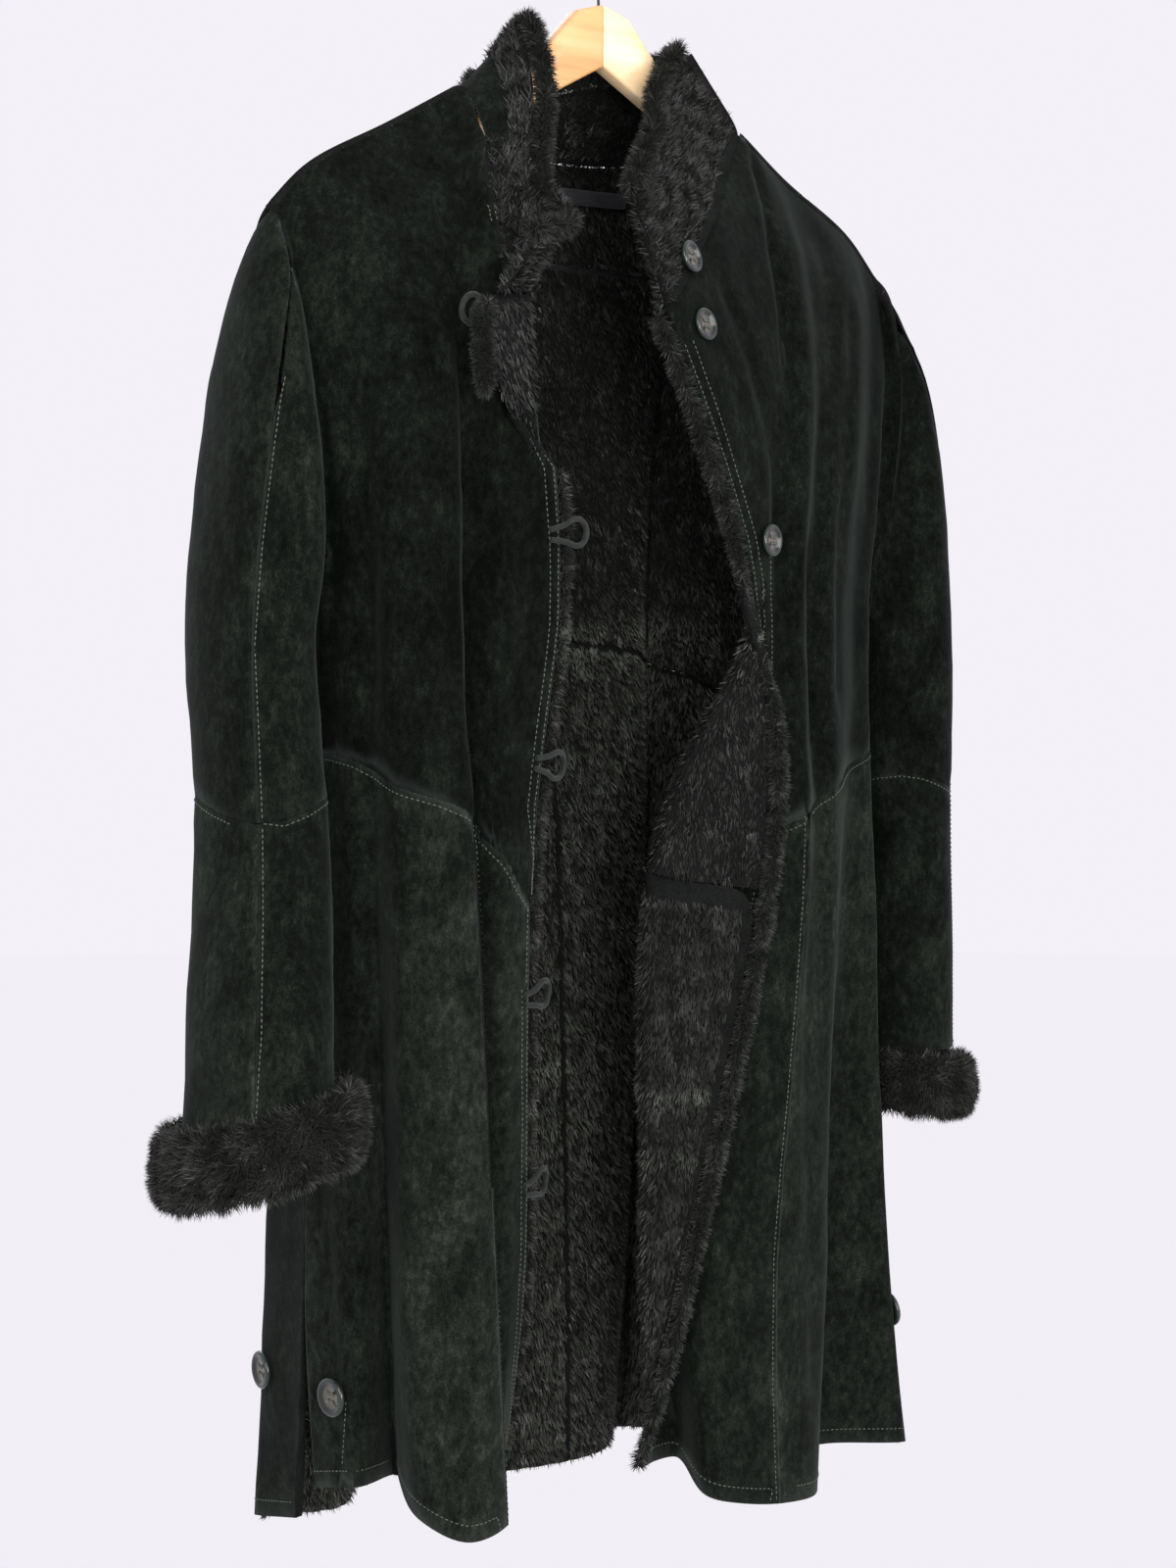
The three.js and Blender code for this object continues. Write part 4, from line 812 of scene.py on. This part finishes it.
# ---- Button loops
# Round cords of the same leather along the front edge, each a doubled loop for a button of the other
# front, with both ends beside the edge's topstitching.
LOOP_DIAMETER = 0.0034
LOOPS = {  # name: length, route
    "loop_1": (0.0665, ((-0.1499, -0.0997, -0.2881), (-0.1592, -0.0995, -0.2862), (-0.169, -0.1018, -0.2837),
                        (-0.1756, -0.1036, -0.2872), (-0.1775, -0.103, -0.2922), (-0.1756, -0.1012, -0.2969),
                        (-0.169, -0.0981, -0.2993), (-0.1592, -0.0972, -0.2959), (-0.1499, -0.0983, -0.2939))),
    "loop_2": (0.0668, ((-0.1091, -0.0947, -0.4161), (-0.0999, -0.0961, -0.4132), (-0.0903, -0.0954, -0.4092),
                        (-0.0833, -0.0933, -0.4115), (-0.0808, -0.0927, -0.4162), (-0.0823, -0.093, -0.4214),
                        (-0.0887, -0.0949, -0.4251), (-0.099, -0.0958, -0.4231), (-0.1085, -0.0946, -0.4221))),
    "loop_3": (0.0667, ((-0.1188, -0.0939, -0.5513), (-0.1093, -0.0932, -0.5504), (-0.0994, -0.0902, -0.5483),
                        (-0.0936, -0.0866, -0.5518), (-0.0925, -0.0853, -0.5569), (-0.0948, -0.086, -0.5617),
                        (-0.1013, -0.0892, -0.5642), (-0.1104, -0.0925, -0.5603), (-0.1195, -0.0936, -0.5573))),
    "loop_4": (0.0667, ((-0.1173, -0.0794, -0.6949), (-0.1083, -0.0779, -0.6918), (-0.0994, -0.0744, -0.6875),
                        (-0.0934, -0.07, -0.6893), (-0.0913, -0.0682, -0.6939), (-0.0925, -0.0686, -0.6992),
                        (-0.098, -0.0721, -0.7032), (-0.1074, -0.0765, -0.7017), (-0.1167, -0.0785, -0.7008))),
    "loop_5": (0.0667, ((-0.1049, -0.0617, -0.8151), (-0.0961, -0.0597, -0.8118), (-0.0875, -0.0557, -0.8073),
                        (-0.0818, -0.051, -0.809), (-0.0797, -0.049, -0.8136), (-0.0808, -0.0495, -0.8188),
                        (-0.0859, -0.0533, -0.823), (-0.095, -0.0582, -0.8216), (-0.1043, -0.0608, -0.821))),
}
cord_leather, tree, shader = new_material("cord_leather", roughness=0.7, specular_ior_level=0.2,
                                          sheen_weight=0.1)
worn = sum_of(tree, (speckle(tree, 260, 3), 0.6), (speckle(tree, 1400, 2), 0.4))
tree.links.new(tones(tree, worn, (0.35, (0.004, 0.006, 0.0045)), (0.65, (0.013, 0.016, 0.013))),
               shader.inputs["Base Color"])
relief(tree, shader, worn, 0.5, 0.0004)
for name, (length, route) in LOOPS.items():
    curve = bpy.data.curves.new("cord_" + name, "CURVE")
    curve.dimensions = "3D"
    curve.bevel_depth, curve.bevel_resolution, curve.use_fill_caps = LOOP_DIAMETER / 2, 4, True
    spline = curve.splines.new("BEZIER")
    spline.resolution_u = 6
    spline.bezier_points.add(len(route) - 1)
    for point, place in zip(spline.bezier_points, route):
        point.co = place
        point.handle_left_type = point.handle_right_type = "AUTO"
    cord = bpy.data.objects.new("cord_" + name, curve)
    bpy.context.collection.objects.link(cord)
    curve.materials.append(cord_leather)
    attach(cord, "root")
    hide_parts(name)

# ---- Vent tabs and hang loop
# A leather tab with rounded edges ties the two flaps of each side vent inside, and a narrow satin
# ribbon at the back of the neck serves to hang the coat on a peg.
satin, tree, shader = new_material("satin_ribbon", roughness=0.35, specular_ior_level=0.5, sheen_weight=0.2)
own_place = wire_up(tree, "ShaderNodeTexCoord").outputs["Object"]
weave = wire_up(tree, "ShaderNodeTexWave", [("Vector", own_place)], Scale=900, Distortion=1.0).outputs["Fac"]
lustre = sum_of(tree, (weave, 0.6), (speckle(tree, 200, 2), 0.4))
tree.links.new(tones(tree, lustre, (0.2, (0.012, 0.012, 0.014)), (0.8, (0.05, 0.05, 0.056))),
               shader.inputs["Base Color"])
relief(tree, shader, weave, 0.2, 0.0002)
STRIPS = (  # name, material, slot, flat width and length
    ("vent_tab_left", suede, "suede", (0.026, 0.058)),
    ("vent_tab_right", suede, "suede", (0.026, 0.062)),
    ("hang_loop", satin, "satin", (0.010, 0.045)),
)
for name, material, slot, flat in STRIPS:
    strip = merged(name)
    to_quads(strip, strip.faces, 30, 60)
    hard = strip.edges.layers.float.new("crease_edge")
    for edge in strip.edges:
        if edge.calc_face_angle(0) > FOLD_ANGLE:
            edge[hard] = 0.7
    for face in strip.faces:
        face.smooth = True
    mesh = bpy.data.meshes.new("strip_" + name)
    strip.to_mesh(mesh)
    piece = add_piece("strip_" + name, mesh, (material,), slot, name)
    mesh = smoothed(piece, 2)
    store(mesh, "tone_and_painted_light", np.full(len(mesh.vertices), 0.06))
    store(mesh, "wear", np.zeros(len(mesh.vertices)))

# ---- Buttons
# Four-hole buttons of polished dark green horn, with a raised rim and a paler middle, sewn on through
# a short shank of thread.
FRONT_RADIUS, VENT_RADIUS = 0.0105, 0.012
BUTTONS = [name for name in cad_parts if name.startswith("button_")]
horn, tree, shader = new_material("horn", roughness=0.2, specular_ior_level=0.4, coat_weight=0.25,
                                  coat_roughness=0.08)
ring = sum_of(tree, (attribute(tree, "ring"), 1.0), (speckle(tree, 160, 4), 0.16))
tree.links.new(tones(tree, ring, (0.30, (0.075, 0.066, 0.050)), (0.60, (0.050, 0.046, 0.036)),
                     (0.72, (0.004, 0.006, 0.005)), (0.90, (0.007, 0.011, 0.009)),
                     (1.0, (0.012, 0.019, 0.015))), shader.inputs["Base Color"])
# Half of the button's section, from the middle of the back to the middle of the front, in radii.
PROFILE = ((0.0, 0.02), (0.2, 0.02), (0.22, 0.13), (0.8, 0.15), (0.97, 0.24), (1.0, 0.33), (0.96, 0.44),
           (0.86, 0.49), (0.74, 0.46), (0.62, 0.36), (0.3, 0.33), (0.0, 0.33))


def button_mesh(radius):
    """The button, turned from its section, with its back on z 0."""
    disc = bmesh.new()
    line = [disc.verts.new((r * radius, 0, h * radius)) for r, h in PROFILE]
    edges = [disc.edges.new(pair) for pair in zip(line[:-1], line[1:])]
    bmesh.ops.spin(disc, geom=line + edges, cent=(0, 0, 0), axis=(0, 0, 1), angle=2 * math.pi, steps=40,
                   use_merge=True, use_normal_flip=False, use_duplicate=False)
    bmesh.ops.remove_doubles(disc, verts=disc.verts, dist=1e-6)
    bmesh.ops.recalc_face_normals(disc, faces=disc.faces)
    for face in disc.faces:
        face.smooth = True
    return disc


def applied(disc, cutters, name):
    """Bores the four holes, and returns the mesh."""
    main = bpy.data.objects.new("blank", bpy.data.meshes.new(name))
    disc.to_mesh(main.data)
    drill = bpy.data.objects.new("drill", bpy.data.meshes.new("drill"))
    cutters.to_mesh(drill.data)
    for thing in (main, drill):
        bpy.context.collection.objects.link(thing)
    cut = main.modifiers.new("holes", "BOOLEAN")
    cut.operation, cut.object, cut.solver = "DIFFERENCE", drill, "EXACT"
    made = bpy.data.meshes.new_from_object(main.evaluated_get(bpy.context.evaluated_depsgraph_get()))
    bpy.data.objects.remove(main)
    bpy.data.objects.remove(drill)
    return made


HOLE_SPREAD = 0.19  # from the button's middle to a hole, across and up, in radii
HOLE_RADIUS = 0.0010
THREAD_RADIUS = 0.0006
for name in BUTTONS:
    radius = VENT_RADIUS if "vent" in name else FRONT_RADIUS
    spread = HOLE_SPREAD * radius
    drill = bmesh.new()
    for x, y in ((-1, -1), (-1, 1), (1, -1), (1, 1)):
        bmesh.ops.create_cone(drill, cap_ends=True, segments=14, radius1=HOLE_RADIUS, radius2=HOLE_RADIUS,
                              depth=0.008, matrix=Matrix.Translation((x * spread, y * spread, 0.004)))
    mesh = applied(button_mesh(radius), drill, name)
    # The solid's own place: its middle, and the way that its flat face looks.
    solid = merged(name)
    solid.normal_update()
    faces = sorted(solid.faces, key=lambda f: -f.calc_area())
    look = sum((f.normal * f.calc_area() for f in faces if f.normal.dot(faces[0].normal) > 0.97), Vector())
    centre = sum((v.co for v in solid.verts), Vector()) / len(solid.verts)
    if look.dot(centre - axis_point("", centre)) < 0:
        look = -look
    look.normalize()
    low = min((v.co - centre).dot(look) for v in solid.verts)
    turn = look.to_track_quat("Z", "X").to_matrix().to_4x4()
    seat = Matrix.Translation(centre + look * low) @ turn
    place, _ = mesh_arrays(mesh)
    ring_of = np.hypot(place[:, 0], place[:, 1]) / radius
    store(mesh, "ring", ring_of)
    mesh.transform(seat)
    piece = add_piece("disc_" + name, mesh, (horn,), "button", name)
    sewing = bmesh.new()
    for x in (-1, 1):
        lie = Matrix.Translation((x * spread, 0, 0.35 * radius)) @ Matrix.Rotation(math.pi / 2, 4, "X")
        bmesh.ops.create_cone(sewing, cap_ends=True, segments=8, radius1=THREAD_RADIUS, radius2=THREAD_RADIUS,
                              depth=2.4 * spread, matrix=seat @ lie)
    mesh = bpy.data.meshes.new("sewing_" + name)
    sewing.to_mesh(mesh)
    add_piece("sewing_" + name, mesh, (thread,), "button")

# ---- Hanger
# Two arms of varnished pale wood, mitred at the middle, with a black wire hook and a bright metal bar.
ARM_ROUNDING = 0.0018
# Painted light: the right arm is painted paler, as if facing the light, and the left arm darker, as if turned
# from it.
ARMS = (  # node, material, its three tones from dark to light
    ("hanger_arm_left", "varnished_wood", ((0.50, 0.22, 0.075), (0.72, 0.38, 0.15), (0.83, 0.50, 0.24))),
    ("hanger_arm_right", "varnished_wood_pale", ((0.68, 0.42, 0.20), (0.86, 0.62, 0.36), (0.93, 0.74, 0.50))),
)
for name, kind, (dark, middle, light) in ARMS:
    wood, tree, shader = new_material(kind, roughness=0.32, specular_ior_level=0.45, coat_weight=0.25,
                                      coat_roughness=0.12)
    grain = sum_of(tree, (speckle(tree, 26, 4, (0.16, 1, 1.6), 0.6), 0.75),
                   (speckle(tree, 260, 3, (0.05, 1, 1)), 0.25))
    tree.links.new(tones(tree, grain, (0.3, dark), (0.5, middle), (0.7, light)), shader.inputs["Base Color"])
    relief(tree, shader, grain, 0.15, 0.0004)
    arm = merged(name)
    bmesh.ops.dissolve_limit(arm, angle_limit=math.radians(1), verts=arm.verts, edges=arm.edges)
    rounded = [e for e in arm.edges if e.calc_face_angle(0) > FOLD_ANGLE]
    bmesh.ops.bevel(arm, geom=rounded, offset=ARM_ROUNDING, offset_type="OFFSET", segments=3, profile=0.5,
                    material=-1, affect="EDGES", clamp_overlap=True)
    for face in arm.faces:
        face.smooth = True
    mesh = bpy.data.meshes.new("wood_" + name)
    arm.to_mesh(mesh)
    mesh.set_sharp_from_angle(angle=math.radians(35))
    add_piece("wood_" + name, mesh, (wood,), "wood", name)

# The thin wire and the bar show as their own solids, with a material each.
METALS = (  # node, material, metallic, roughness, fineness of its speckle, dark tone, light tone
    ("hanger_hook", "black_wire", 0.7, 0.4, 500, (0.012, 0.012, 0.013), (0.03, 0.03, 0.033)),
    ("hanger_bar", "bright_steel", 1.0, 0.22, 300, (0.62, 0.63, 0.65), (0.8, 0.81, 0.83)),
)
for name, kind, metallic, roughness, scale, dark, light in METALS:
    metal, tree, shader = new_material(kind, metallic=metallic, roughness=roughness)
    tree.links.new(tones(tree, speckle(tree, scale, 3), (0.3, dark), (0.7, light)), shader.inputs["Base Color"])
    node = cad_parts[name]
    if not node.data.materials:
        node.data.materials.append(metal)
    for holder in node.material_slots:
        holder.material = metal
